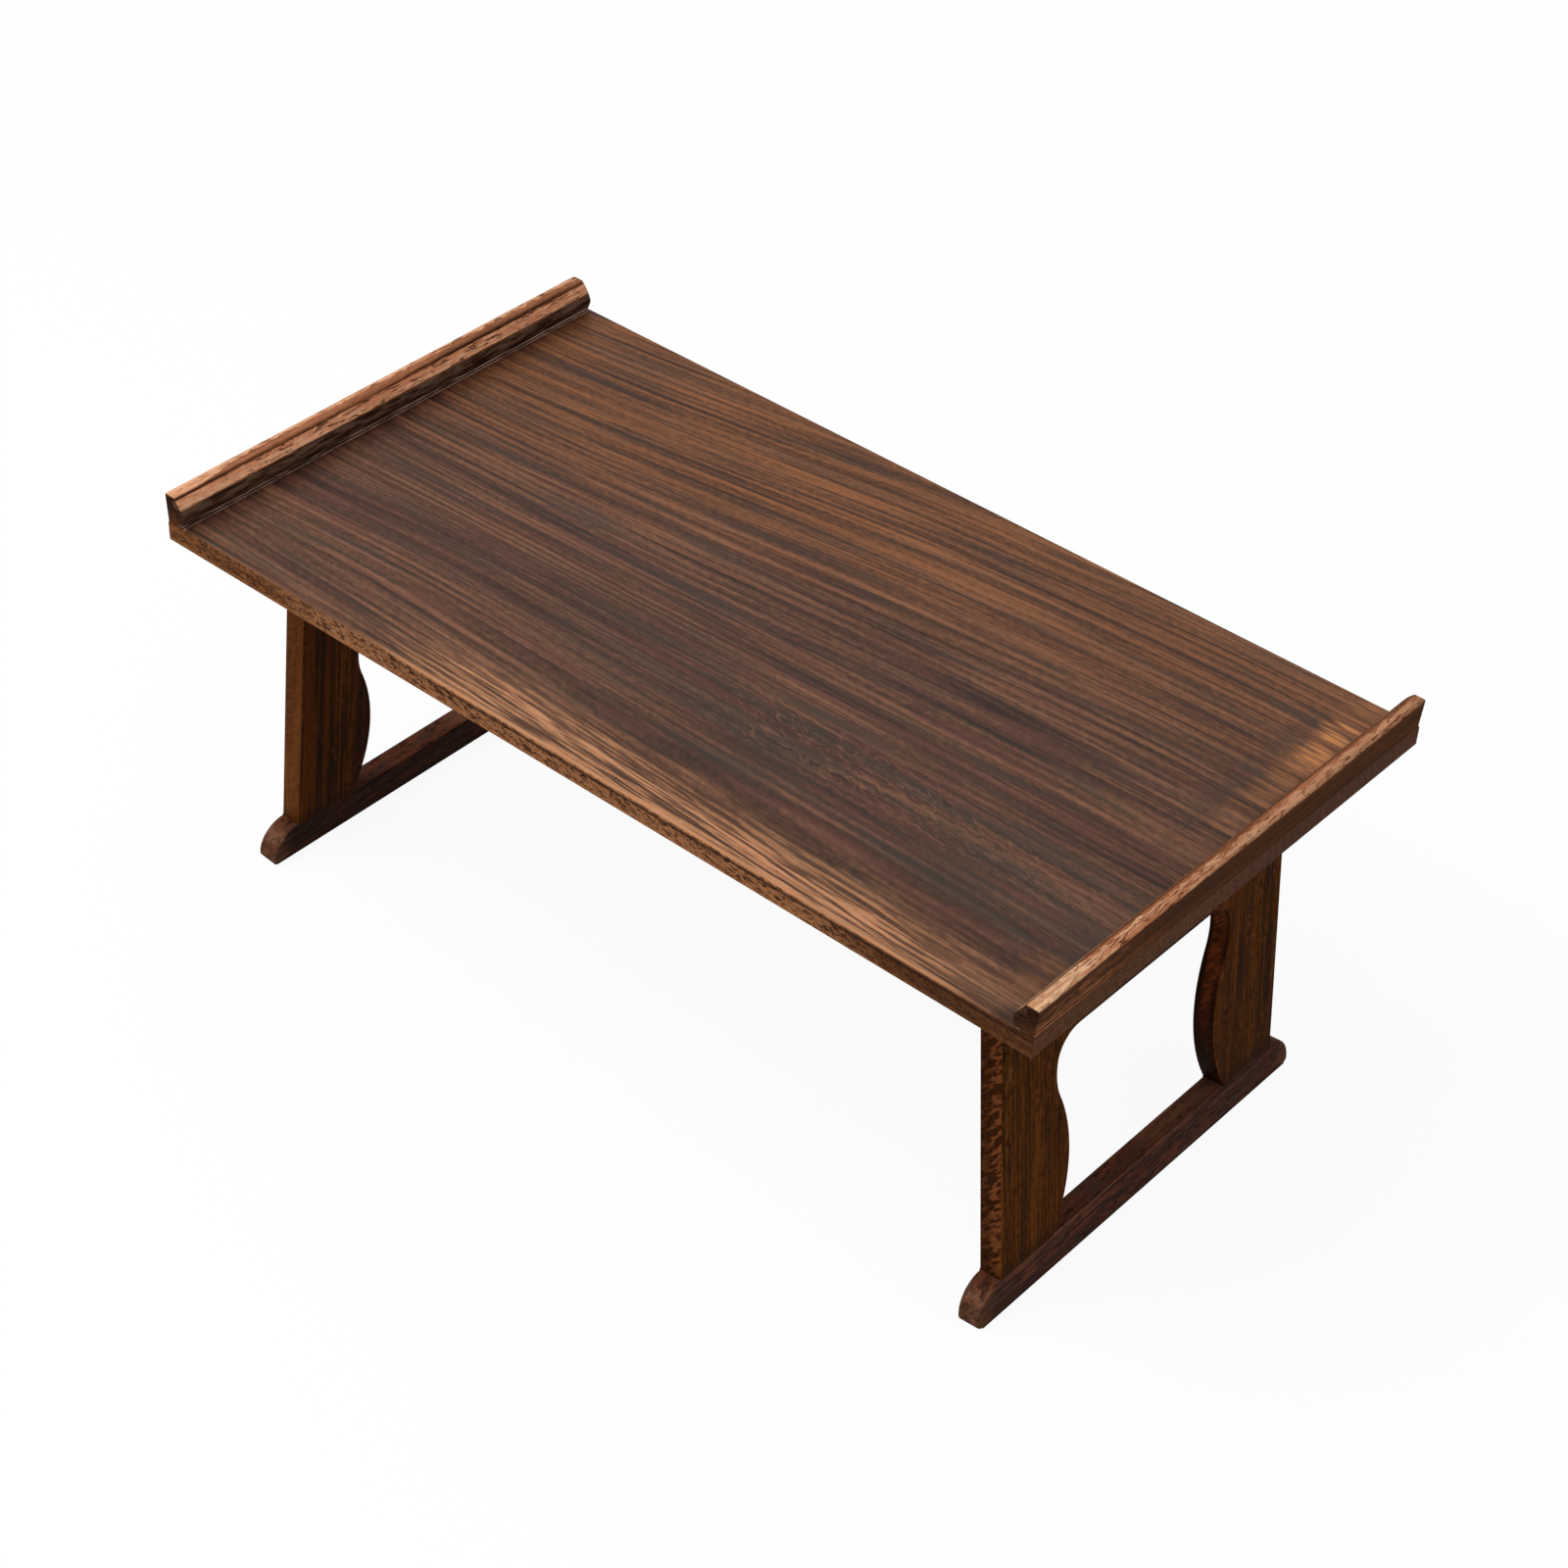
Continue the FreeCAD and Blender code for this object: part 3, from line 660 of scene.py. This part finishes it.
@dataclass(frozen=True)
class LipFinish(WoodFinish):
    """Wood of a lip: rubbed to tan on its crown and bevel, scorched below the bevel and at its ends, with
    painted shade, painted light and a painted reflection in a few bands.

    Heights are in millimetres above the top.

    Attributes:
        tan: Palest rubbed wood.
        pink: Less rubbed wood; also the rubbed low outer edge with its painted highlight.
        line: Wavy dark lines in the rubbed wood; also the painted shade under the edge of the crown.
        dark: Scorched wood; also the painted shade at the foot of the lip.
        outer: Face that looks outward.
        brown: Lower part of the sawn ends.
        slate: Paler slate painted onto the inner face below the bevel, as painted light that lifts its
            shade.
        glint: Painted reflection, a pale line along the foot.
        line_length: Length of the wavy lines.
        fade: How much the rubbing fades towards the back.
        crown_width: Width of the rubbed crown.
        bevel_rub: How much the bevel is rubbed.
        crown_height: Where the crown starts and where it is full.
        bevel_height: Where the rubbed part of the bevel lies.
        near_rows: Where the rubbing widens towards the front end and where it is widest.
    """

    tan: Colour = shade(255, 206, 162)
    pink: Colour = shade(204, 132, 92)
    line: Colour = shade(84, 42, 22)
    dark: Colour = shade(30, 17, 9)
    outer: Colour = shade(88, 48, 17)
    brown: Colour = shade(82, 48, 28)
    slate: Colour = shade(100, 78, 64)
    glint: Colour = shade(255, 220, 196)
    line_length: float = 9.0
    fade: float = 0.5
    crown_width: float = 2.0
    bevel_rub: float = 1.0
    crown_height: Span = (19.6, 20.7)
    bevel_height: Span = (13.6, 18.4)
    near_rows: Span = (-120.0, -170.0)

    def paint(self, coat: Coat) -> None:
        """Adds the rubbed crown and bevel, the wavy dark lines between them, the scorched places, and bands
        of painted shade, painted light and painted reflection.

        Args:
            coat: Colour so far.
        """
        super().paint(coat)
        graph, tone, (x, y, z) = coat.spot.graph, coat.tone, coat.spot.axes
        out = abs(x) - LENGTH_HALF
        height = z - TOP_SURFACE
        wave = (graph.noise(y / 13.0, 1.0, 5.0, 2.0, 0.6) - 0.5) * 5.0
        near = y.between(*self.near_rows)

        ragged = (graph.noise(y / 21.0, 3.0, 5.0, 3.0, 0.65) - 0.5) * 13.0
        ragged = ragged * y.between(-185.0, -120.0)
        inside = (out + ragged + near * 5.0).between(-self.crown_width - 0.8, -self.crown_width)
        crown = height.between(*self.crown_height) * inside
        bevel = (height + wave * 0.25).window(*self.bevel_height, 0.9) * out.between(-5.5, -7.0)
        bevel = bevel * self.bevel_rub
        worn_places = (graph.noise(y / 34.0, 5.0, 2.0, 1.0) - 0.5) * 1.1
        fading = 0.95 + (worn_places - y.between(-150.0, 60.0)) * self.fade
        skew = (y + out * 2.2) / self.line_length
        lines = graph.noise(skew, (out + wave) / 1.7, height / 1.5, 2.0, 0.65).between(0.53, 0.61)
        pale = tone.between(0.25, 0.7) * (0.4 + fading * 0.6) + near * 5.0 * (self.fade * 0.09)
        rubbed = graph.mix(pale, self.pink, self.tan)
        rubbed = graph.mix(lines * (0.85 - near * 0.4), rubbed, self.line)

        outward = out.between(-0.6, 0.2) * height.between(19.4, 18.2)
        worn_outer = graph.mix(y.between(-60.0, -170.0), self.outer, self.pink)
        grimy = graph.mix(tone.between(0.3, 0.8), self.dark, worn_outer)
        coat.lay(outward * 0.85, self.outer)
        coat.lay(outward * 0.5, grimy)
        # Painted shade: a dark line on the outer face just under the rounded edge of the crown.
        gap = height.window(17.6, 19.2, 0.8) * out.between(-1.0, 0.2)
        coat.lay(gap * 0.7, self.line)
        flat = height.between(*self.crown_height) * out.between(-1.0, -2.0)
        coat.lay(flat * (0.2 + tone * 0.4), self.pink)
        coat.lay((crown + bevel) * (0.12 + fading * 0.86), rubbed)

        # Below the bevel: scorched wood mottled with a paler slate, painted in as light that lifts the shade
        # of the undercut.
        inner = (height - wave * 0.3).between(13.5, 11.5) * out.between(-8.0, -9.0)
        lip_mottle = graph.noise(y / 22.0, height / 3.0, out / 3.0, 2.0, 0.6).between(0.4, 0.6)
        coat.lay(inner * 0.85, graph.mix(lip_mottle, self.dark, self.slate))
        # The low outer edge near the front is rubbed and also carries a painted highlight.
        low_edge = height.window(1.2, 2.4, 0.7) * out.between(-1.0, 0.0) * y.between(-110.0, -180.0)
        coat.lay(low_edge * 0.3, self.pink)
        # Painted reflection: a pale line along the foot of the lip.
        foot_glint = height.window(0.8, 1.8, 0.6) * out.between(-9.0, -11.0)
        coat.lay(foot_glint * (0.1 + lip_mottle * 0.7), self.glint)
        # Painted shade at the foot, where the lip meets the top.
        seam = height.between(0.8, 0.2)
        coat.lay(seam * 0.6, self.dark)
        end = abs(coat.spot.towards(Y_AXIS)).between(0.5, 0.85)
        lit = height.between(13.0, 0.0) * 0.75 + lip_mottle * height.between(20.0, 10.0) * 0.25
        coat.lay(end * 0.85, graph.mix(lit, self.dark, self.brown))


@dataclass(frozen=True)
class LegFinish(WoodFinish):
    """Wood of the leg boards: olive-brown faces, flecked redder sawn edges, darker at the foot.

    Attributes:
        red: Redder wood of the sawn edges.
        dark: Scorched wood; also painted shade on the inner faces, along the inner border of the sawn edges
            and at the foot.
        rub: Rubbed wood.
        glow: Ember stripe in the wavy edge.
        fleck: Flecks of the sawn edges.
        face_axis: Direction that the outer face looks in.
        waist: Is 1 where the wavy edge lies towards +Y, and -1 otherwise.
        fleck_depth: How clearly the flecks show.
        fleck_slant: Degrees that the flecks lean.
        fleck_size: Length and width of a fleck.
    """

    red: Colour = shade(92, 43, 14)
    dark: Colour = shade(26, 13, 6)
    rub: Colour = shade(126, 76, 38)
    glow: Colour = shade(128, 62, 32)
    fleck: Colour = shade(128, 73, 39)
    face_axis: Triple = X_AXIS
    waist: float = 1.0
    fleck_depth: float = 1.0
    fleck_slant: float = -42.0
    fleck_size: Span = (9.0, 2.2)

    def paint(self, coat: Coat) -> None:
        """Adds the red sawn edges, their flecks, the scorched waist, the rubbed corners, the foot darkened
        with painted shade, and painted shade on the inner faces and along the inner border of the sawn
        edges.

        Args:
            coat: Colour so far.
        """
        super().paint(coat)
        graph, figure, tone = coat.spot.graph, coat.figure, coat.tone
        inward = figure.level * self.waist
        looking = coat.spot.towards(self.face_axis)
        facing = abs(looking)
        inside = looking.between(-0.4, -0.8)
        sawn = facing.between(0.75, 0.35)

        swirl = graph.noise(figure.run / 13.0, figure.wide / 6.0, figure.deep / 6.0, 3.0, 0.6, 1.4)
        place = graph.noise(figure.run / 70.0, figure.wide / 24.0, 8.0, 1.0).between(0.4, 0.6)
        coat.lay(swirl.between(0.54, 0.66) * place * 0.5, self.rub)
        coat.lay(swirl.between(0.46, 0.36) * (0.2 + place * 0.4), self.dark)
        band = graph.noise(figure.run / 220.0, figure.level / 8.0, 3.0, 1.0)
        # Inner faces: a darker stain, also painted shade, with reddish streaks.
        coat.lay(inside * (0.25 + band.between(0.5, 0.42) * 0.5), self.dark)
        coat.lay(inside * band.between(0.52, 0.62) * 0.5, self.red)
        coat.lay(inward.between(2.0, 20.0) * swirl.between(0.4, 0.6) * 0.4, self.red)

        slant = math.radians(self.fleck_slant)
        far = figure.run * math.cos(slant) + figure.deep * math.sin(slant)
        near = figure.deep * math.cos(slant) - figure.run * math.sin(slant)
        length, width = self.fleck_size
        dashes = graph.noise(far / length, near / width, figure.wide / 5.0, 1.5, 0.5)
        shadow = graph.mix(tone * 0.5 + 0.1, self.dark, self.red)
        edge = graph.mix(self.fleck_depth, graph.mix(tone, self.red, self.rub), shadow)
        edge = graph.mix(dashes.between(0.45, 0.58) * self.fleck_depth, edge, self.fleck)
        # Painted shade along the inner border of the sawn edge.
        edge = graph.mix(figure.deep.between(3.5, 8.0) * 0.6, edge, self.dark)
        coat.lay(sawn * 0.85, edge)

        depth = abs(figure.deep) + (figure.cloud - 0.5) * 12.0
        ember = abs(depth - 6.0).between(5.5, 1.5) * figure.run.between(30.0, 90.0)
        groove = graph.mix(ember * (dashes.between(0.56, 0.42) * 0.6 + tone * 0.4), self.dark, self.glow)
        coat.lay(sawn * inward.between(8.0, 20.0) * 0.85, groove)
        # More painted shade on the inner faces towards the wavy edge.
        coat.lay(inward.between(6.0, 36.0) * inside * 0.5, self.dark)
        corner = facing * facing
        corner = (corner * (1.0 - corner) * 4.0).between(0.55, 1.0)
        coat.lay(corner * (figure.broad.between(0.4, 0.62) * 0.6 + 0.1), self.rub)
        # Painted shade at the foot, where the board meets the runner.
        foot = figure.run.between(14.0, 0.0)
        coat.lay(foot * 0.5, self.dark)


@dataclass(frozen=True)
class RunnerFinish(WoodFinish):
    """Wood of the runners: dark purplish brown, redder on top, rubbed at its toes and corners.

    Attributes:
        top: Redder wood of the top.
        slate: Greyer clouds.
        rub: Rubbed wood; also the painted light on the middle of the top.
        dark: Scorched wood in the pits; also laid over the faces towards the middle of the table and the
            bottom few millimetres.
        toe: Distances from the middle where a toe starts and where it is rubbed in full.
        painted_light_rows: Where the top is painted lighter, as painted light in place of the shade that the
            table casts there.
    """

    top: Colour = shade(116, 66, 46)
    slate: Colour = shade(76, 57, 46)
    rub: Colour = shade(142, 97, 73)
    dark: Colour = shade(24, 11, 5)
    toe: Span = (143.0, 158.0)
    painted_light_rows: Span = (25.0, 105.0)

    def paint(self, coat: Coat) -> None:
        """Adds the redder top with painted light on its middle, the dark inner face, the rubbed toes and
        corners, and the dark sole.

        Args:
            coat: Colour so far.
        """
        super().paint(coat)
        graph, figure, tone = coat.spot.graph, coat.figure, coat.tone
        x, y, z = coat.spot.axes
        up = coat.spot.towards(Z_AXIS)
        top = up.between(0.6, 0.95)
        cloudy = graph.noise(y / 26.0, figure.wide / 7.0, z / 7.0, 3.0, 0.65)
        coat.lay(top * (tone * 0.4 + 0.3), self.top)
        coat.lay(cloudy.between(0.5, 0.6) * (0.35 + top * 0.4), self.slate)
        coat.lay(cloudy.between(0.48, 0.38) * 0.6, self.top)
        pit = graph.noise(y / 9.0, figure.wide / 4.0, z / 4.0, 2.0, 0.6).between(0.44, 0.36)
        coat.lay(pit * 0.6, self.dark)
        # Painted light: the middle of the top is lightened where the table's shadow falls on it.
        coat.lay(top * y.window(*self.painted_light_rows, 25.0) * tone * 0.7, self.rub)
        inward = coat.spot.towards(X_AXIS) * (1.0 - x.between(-1.0, 1.0) * 2.0)
        coat.lay(inward.between(0.4, 0.9) * 0.6, self.dark)
        coat.lay(abs(y).between(*self.toe) * (tone * 0.7 + 0.1) * 0.5, self.rub)
        square = up * up
        corner = (square * (1.0 - square) * 4.0).between(0.5, 1.0) * z.between(10.0, 18.0)
        coat.lay(corner * figure.broad.between(0.36, 0.6) * 0.65, self.rub)
        coat.lay(z.between(3.5, 0.5) * 0.6, self.dark)


# Metal


@dataclass(frozen=True)
class SteelFinish:
    """Bronzed steel, brushed and a little worn.

    Attributes:
        film: Colour of the bronzing.
        dull: Colour of its darker clouds.
        bare: Colour where it is rubbed through.
        roughness: Usual roughness.
        wear: How much of the surface is rubbed.
    """

    film: Colour = shade(96, 72, 50)
    dull: Colour = shade(52, 40, 32)
    bare: Colour = shade(172, 156, 136)
    roughness: float = 0.38
    wear: float = 0.35

    def material(self, name: str) -> bpy.types.Material:
        """Makes the material.

        Args:
            name: Name of the material.

        Returns:
            The new material.
        """
        made = bpy.data.materials.new(name)
        made.use_nodes = True
        graph = Graph(made.node_tree)
        spot = Spot.read(graph)
        x, y, z = spot.axes
        brushed = graph.noise(x / 0.25, y / 9.0, z / 0.25)
        cloud = graph.noise(x / 5.0, y / 5.0, z / 5.0, 3.0, 0.6)
        rubbed = (cloud + (brushed - 0.5) * 0.5).between(0.5, 0.68) * self.wear
        colour = graph.mix(rubbed, graph.mix(cloud.between(0.35, 0.6), self.dull, self.film), self.bare)
        bump = graph.add("ShaderNodeBump", None, {"Strength": 0.25, "Distance": 0.00005, "Height": brushed})
        shader = graph.add("ShaderNodeBsdfPrincipled", None,
                           {"Base Color": colour, "Metallic": 1.0, "Normal": bump,
                            "Roughness": self.roughness + (brushed - 0.5) * 0.3 - rubbed * 0.1})
        graph.output(shader)
        return made


# Sub-assemblies


def dress(node: str, material: bpy.types.Material) -> None:
    """Gives a node of the frame its material in every slot.

    Args:
        node: Name of the node.
        material: Its material.
    """
    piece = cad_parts[node]
    piece.data.materials.clear()
    piece.data.materials.append(material)
    log.info("dressed %s in %s", node, material.name)


@dataclass(frozen=True)
class TableTop:
    """Three planks, the tongues in their seams, and the battens under them."""

    planks: TopFinish
    tongues: WoodFinish
    battens: WoodFinish
    batten_reach: float = 300.0

    def plank_grain(self) -> Grain:
        """Lays out the grain that the planks share, as they were sawn side by side from one log.

        Returns:
            The grain, which climbs to the right at the back and falls along the front.
        """
        bends = (Bend(30.0, (-440.0, 60.0), (-60.0, 190.0)),
                 Bend(34.0, (-350.0, 300.0), (-170.0, 120.0)),
                 Bend(12.0, (-400.0, -150.0), (-175.0, -115.0)),
                 Bend(-12.0, (-400.0, -150.0), (-80.0, -10.0)),
                 Bend(-16.0, (-300.0, 350.0), (-70.0, -185.0)))
        return Grain((0.0, 0.0, TOP_SURFACE), X_AXIS, Y_AXIS, (-390.0, -60.0), 5.4, 0.008, 10.0, stretch=1.7,
                     bends=bends, curl=6.0, curl_place=(140.0, -84.0), curl_reach=(90.0, 14.0))

    def dress_planks(self) -> None:
        """Gives each plank a material of its own on the grain that they share."""
        for place in ("front", "middle", "back"):
            dress(f"top_plank_{place}", self.planks.material(f"top_wood_{place}", self.plank_grain()))

    def dress_joinery(self) -> None:
        """Leaves the tongues as bare beech and stains the battens."""
        tongue = Grain((0.0, 0.0, TOP_SURFACE), X_AXIS, Y_AXIS, (40.0, 60.0), 2.2, 0.0, 2.0)
        dress("plank_tongues", self.tongues.material("tongue_beech", tongue))
        for side in Side:
            start = (side.value * self.batten_reach, 0.0, UNDERSIDE)
            grain = Grain(start, Y_AXIS, X_AXIS, (30.0, 40.0), 3.0, 0.01, 4.0, side.value * 5.0)
            dress(f"{side.word}_end_batten", self.battens.material(f"{side.word}_batten_wood", grain))


@dataclass(frozen=True)
class EndLip:
    """Raised moulding on one end, with its dowels."""

    side: Side
    moulding: LipFinish
    dowels: WoodFinish

    def dress_all(self) -> None:
        """Runs the grain along the lip and leaves its dowels bare."""
        start = (self.side.value * LENGTH_HALF, 0.0, TOP_SURFACE)
        grain = Grain(start, Y_AXIS, X_AXIS, (22.0, 34.0), 2.6, 0.015, 6.0, self.side.value * 31.0)
        dress(f"{self.side.word}_lip", self.moulding.material(f"{self.side.word}_lip_wood", grain))
        upright = Grain(start, Z_AXIS, X_AXIS, (30.0, 30.0), 1.8, 0.0, 1.0)
        beech = self.dowels.material(f"{self.side.word}_dowel_beech", upright)
        dress(f"{self.side.word}_lip_dowels", beech)


@dataclass(frozen=True)
class LegFrame:
    """Two boards that lean outward, the rail between them and the runner that they stand on."""

    side: Side
    boards: LegFinish
    rail: WoodFinish
    runner: RunnerFinish
    board_foot: Triple = (313.0, 107.0, 26.0)
    rail_middle: Triple = (285.0, 0.0, 220.0)
    runner_middle: Triple = (315.0, 0.0, 0.0)

    @property
    def upward(self) -> Triple:
        """Direction of the boards' grain, leaning with the frame."""
        return (-self.side.value * math.sin(LEG_LEAN), 0.0, math.cos(LEG_LEAN))

    @property
    def outward(self) -> Triple:
        """Direction that the boards' outer faces look in."""
        return (self.side.value * math.cos(LEG_LEAN), 0.0, math.sin(LEG_LEAN))

    def mirrored(self, point: Triple, row: int = 1) -> Triple:
        """Moves a point of the right back quarter to this end, and to the front where row is -1."""
        return (self.side.value * point[0], row * point[1], point[2])

    def dress_boards(self) -> None:
        """Gives each board a log of its own."""
        for number, place in enumerate(("front", "back")):
            sign = -1 if place == "front" else 1
            grain = Grain(self.mirrored(self.board_foot, sign), self.upward, Y_AXIS, (sign * 70.0, 30.0),
                          3.2, 0.02, 7.0, self.side.value * 7.0 + number * 3.3)
            finish = replace(self.boards, face_axis=self.outward, waist=-sign,
                             fleck_depth=1.0 if self.side is Side.RIGHT else 0.35)
            name = f"{self.side.word}_{place}_leg"
            dress(f"{name}_board", finish.material(f"{name}_wood", grain))

    def dress_rail(self) -> None:
        """Runs the rail's grain across the frame."""
        grain = Grain(self.mirrored(self.rail_middle), Y_AXIS, self.upward, (60.0, 40.0), 3.4, 0.015, 6.0,
                      self.side.value * 9.0)
        dress(f"{self.side.word}_top_rail", self.rail.material(f"{self.side.word}_rail_wood", grain))

    def dress_runner(self) -> None:
        """Runs the runner's grain along its length."""
        grain = Grain(self.mirrored(self.runner_middle), Y_AXIS, X_AXIS, (-24.0, -30.0), 2.8, 0.02, 6.0,
                      self.side.value * 19.0)
        wood = self.runner.material(f"{self.side.word}_runner_wood", grain)
        dress(f"{self.side.word}_foot_runner", wood)


@dataclass(frozen=True)
class Hardware:
    """Hinges and screws of both leg frames."""

    leaf: SteelFinish
    pin: SteelFinish
    screw: SteelFinish

    def dress_all(self) -> None:
        """Bronzes the leaves, pins and screws."""
        leaf = self.leaf.material("bronzed_leaf")
        pin = self.pin.material("bronzed_pin")
        screw = self.screw.material("bronzed_screw")
        for side in Side:
            for place in ("front", "back"):
                hinge = f"{side.word}_{place}_hinge"
                dress(f"{hinge}_top_leaf", leaf)
                dress(f"{hinge}_leg_leaf", leaf)
                dress(f"{hinge}_pin", pin)
            for group in ("top_leaf", "leg_leaf", "batten"):
                dress(f"{side.word}_{group}_screws", screw)


# Studio


@dataclass(frozen=True)
class Camera:
    """Stands where the photograph was taken from.

    Attributes:
        place: Camera's place in metres.
        turn: Degrees that it is turned from looking along Y.
        tilt: Degrees that it looks down.
        roll: Degrees that it is rolled.
        focal: Focal length in pixels of a frame 1600 wide.
        centre: Pixel of that frame that the lens looks straight at.
        frame_size: Width and height of that frame in pixels.
    """

    place: Triple = (1.0791, -1.3076, 1.5207)
    turn: float = 41.3938
    tilt: float = -38.9463
    roll: float = 1.5361
    focal: float = 3450.957
    centre: Span = (694.08, 793.43)
    frame_size: float = 1600.0

    def build(self) -> None:
        """Makes the camera and sets it as the scene's."""
        lens = bpy.data.cameras.new("camera")
        lens.sensor_width = 36.0
        lens.lens = self.focal / self.frame_size * lens.sensor_width
        lens.shift_x = 0.5 - self.centre[0] / self.frame_size
        lens.shift_y = self.centre[1] / self.frame_size - 0.5
        lens.clip_start = 0.05
        lens.clip_end = 60.0
        eye = bpy.data.objects.new("camera", lens)
        turned = (Matrix.Rotation(math.radians(self.turn), 4, "Z")
                  @ Matrix.Rotation(math.radians(90.0 + self.tilt), 4, "X")
                  @ Matrix.Rotation(math.radians(self.roll), 4, "Z"))
        eye.matrix_world = Matrix.Translation(self.place) @ turned
        bpy.context.scene.collection.objects.link(eye)
        bpy.context.scene.camera = eye
        log.info("camera stands at %s", self.place)


@dataclass(frozen=True)
class Studio:
    """Pale floor, white surroundings, and one large soft lamp above the front left.

    Attributes:
        ambient: Strength of the light from all round.
        lamp_watts: Power of the lamp.
        lamp_place: Place of the lamp in metres.
        lamp_size: Side of the lamp in metres.
        lamp_aim: Point that it looks at, in metres.
        floor_radius: Radius of the floor in metres.
        floor_drop: How far it lies under the runners, in metres.
        floor_grey: Colour of its own shading.
        floor_glow: Strength of the white that the camera sees.
        shadow_share: How much of the floor's own shading the camera sees.
    """

    ambient: float = 0.45
    lamp_watts: float = 31.0
    lamp_place: Triple = (-0.9, -1.2, 2.3)
    lamp_size: float = 1.8
    lamp_aim: Triple = (0.0, 0.0, 0.2)
    floor_radius: float = 9.0
    floor_drop: float = 0.0002
    floor_grey: Colour = (0.86, 0.86, 0.86, 1.0)
    floor_glow: float = 1.05
    shadow_share: float = 0.12

    def surroundings(self, graph: Graph) -> Wire:
        """Is 1 for rays that should see plain white: from the camera, or off gloss and through glass."""
        seen = [graph.add("ShaderNodeLightPath", None, None, f"Is {kind} Ray")
                for kind in ("Camera", "Glossy", "Transmission")]
        return graph.maths("MAXIMUM", graph.maths("MAXIMUM", seen[0], seen[1]), seen[2])

    def build_world(self) -> None:
        """Lights the object evenly and shows white behind it."""
        world = bpy.data.worlds.new("studio")
        bpy.context.scene.world = world
        world.use_nodes = True
        graph = Graph(world.node_tree)
        strength = self.ambient + self.surroundings(graph) * (1.0 - self.ambient)
        shader = graph.add("ShaderNodeBackground", None, {"Color": WHITE, "Strength": strength})
        graph.output(shader, "ShaderNodeOutputWorld")

    def build_floor(self) -> None:
        """Makes a round floor that keeps the table's shadow and can be looked through from below."""
        mesh = bpy.data.meshes.new("floor")
        shape = bmesh.new()
        bmesh.ops.create_circle(shape, cap_ends=True, segments=96, radius=self.floor_radius)
        shape.to_mesh(mesh)
        shape.free()
        floor = bpy.data.objects.new("floor", mesh)
        floor.location.z = -self.floor_drop
        bpy.context.scene.collection.objects.link(floor)
        pale = bpy.data.materials.new("floor_pale")
        pale.use_nodes = True
        graph = Graph(pale.node_tree)
        lit = graph.add("ShaderNodeBsdfDiffuse", None, {"Color": self.floor_grey})
        white = graph.add("ShaderNodeEmission", None, {"Color": WHITE, "Strength": self.floor_glow})
        front = graph.add("ShaderNodeMixShader", None,
                          {"Fac": self.surroundings(graph) * (1.0 - self.shadow_share), "Shader": lit,
                           "Shader_001": white})
        clear = graph.add("ShaderNodeBsdfTransparent")
        below = (graph.add("ShaderNodeNewGeometry", None, None, "Backfacing")
                 * graph.add("ShaderNodeLightPath", None, None, "Is Camera Ray"))
        graph.output(graph.add("ShaderNodeMixShader", None,
                               {"Fac": below, "Shader": front, "Shader_001": clear}))
        mesh.materials.append(pale)

    def build_lamp(self) -> None:
        """Hangs the lamp and turns it to the table."""
        data = bpy.data.lights.new("soft_lamp", "AREA")
        data.shape = "SQUARE"
        data.size = self.lamp_size
        data.energy = self.lamp_watts
        lamp = bpy.data.objects.new("soft_lamp", data)
        lamp.location = self.lamp_place
        aim = Vector(self.lamp_aim) - Vector(self.lamp_place)
        lamp.rotation_euler = aim.to_track_quat("-Z", "Y").to_euler()
        bpy.context.scene.collection.objects.link(lamp)

    def build(self) -> None:
        """Builds the whole studio."""
        view = bpy.context.scene.view_settings
        view.view_transform = "Standard"
        self.build_world()
        self.build_floor()
        self.build_lamp()
        log.info("studio has floor, lamp and white surroundings")


def main() -> None:
    """Builds and dresses the table and its studio."""
    logging.basicConfig(level=logging.INFO, format="%(message)s")
    Camera().build()
    Studio().build()
    beech = WoodFinish(Tones(shade(150, 108, 70), shade(190, 148, 104), shade(214, 178, 134)), relief=0.0001)
    stained = WoodFinish(Tones(shade(40, 24, 16), shade(78, 48, 30), shade(116, 78, 52)))
    top = TableTop(TopFinish(Tones(shade(50, 33, 26), shade(89, 58, 43), shade(140, 95, 70)), wax=0.3,
                             fine_depth=0.42, speck_depth=0.58), beech, stained)
    top.dress_planks()
    top.dress_joinery()
    lip = LipFinish(Tones(shade(54, 29, 16), shade(97, 56, 32), shade(146, 92, 58)), gloss=0.01)
    EndLip(Side.LEFT, replace(lip, fade=0.06, tan=shade(255, 194, 150), pink=shade(220, 144, 104),
                              line_length=16.0), beech).dress_all()
    EndLip(Side.RIGHT, replace(lip, fade=0.55, crown_width=4.6, bevel_rub=0.35), beech).dress_all()
    board = LegFinish(Tones(shade(36, 16, 2), shade(70, 36, 5), shade(108, 60, 18)), gloss=0.01)
    rail = WoodFinish(Tones(shade(36, 19, 8), shade(66, 38, 16), shade(100, 62, 32)), gloss=0.015)
    runner = RunnerFinish(Tones(shade(32, 18, 13), shade(64, 38, 29), shade(108, 66, 50)), gloss=0.012)
    for side in Side:
        legs = LegFrame(side, board, rail, runner)
        legs.dress_boards()
        legs.dress_rail()
        legs.dress_runner()
    Hardware(SteelFinish(), SteelFinish(film=shade(112, 92, 70), wear=0.6),
             SteelFinish(roughness=0.32, wear=0.45)).dress_all()


if __name__ == "__main__":
    main()
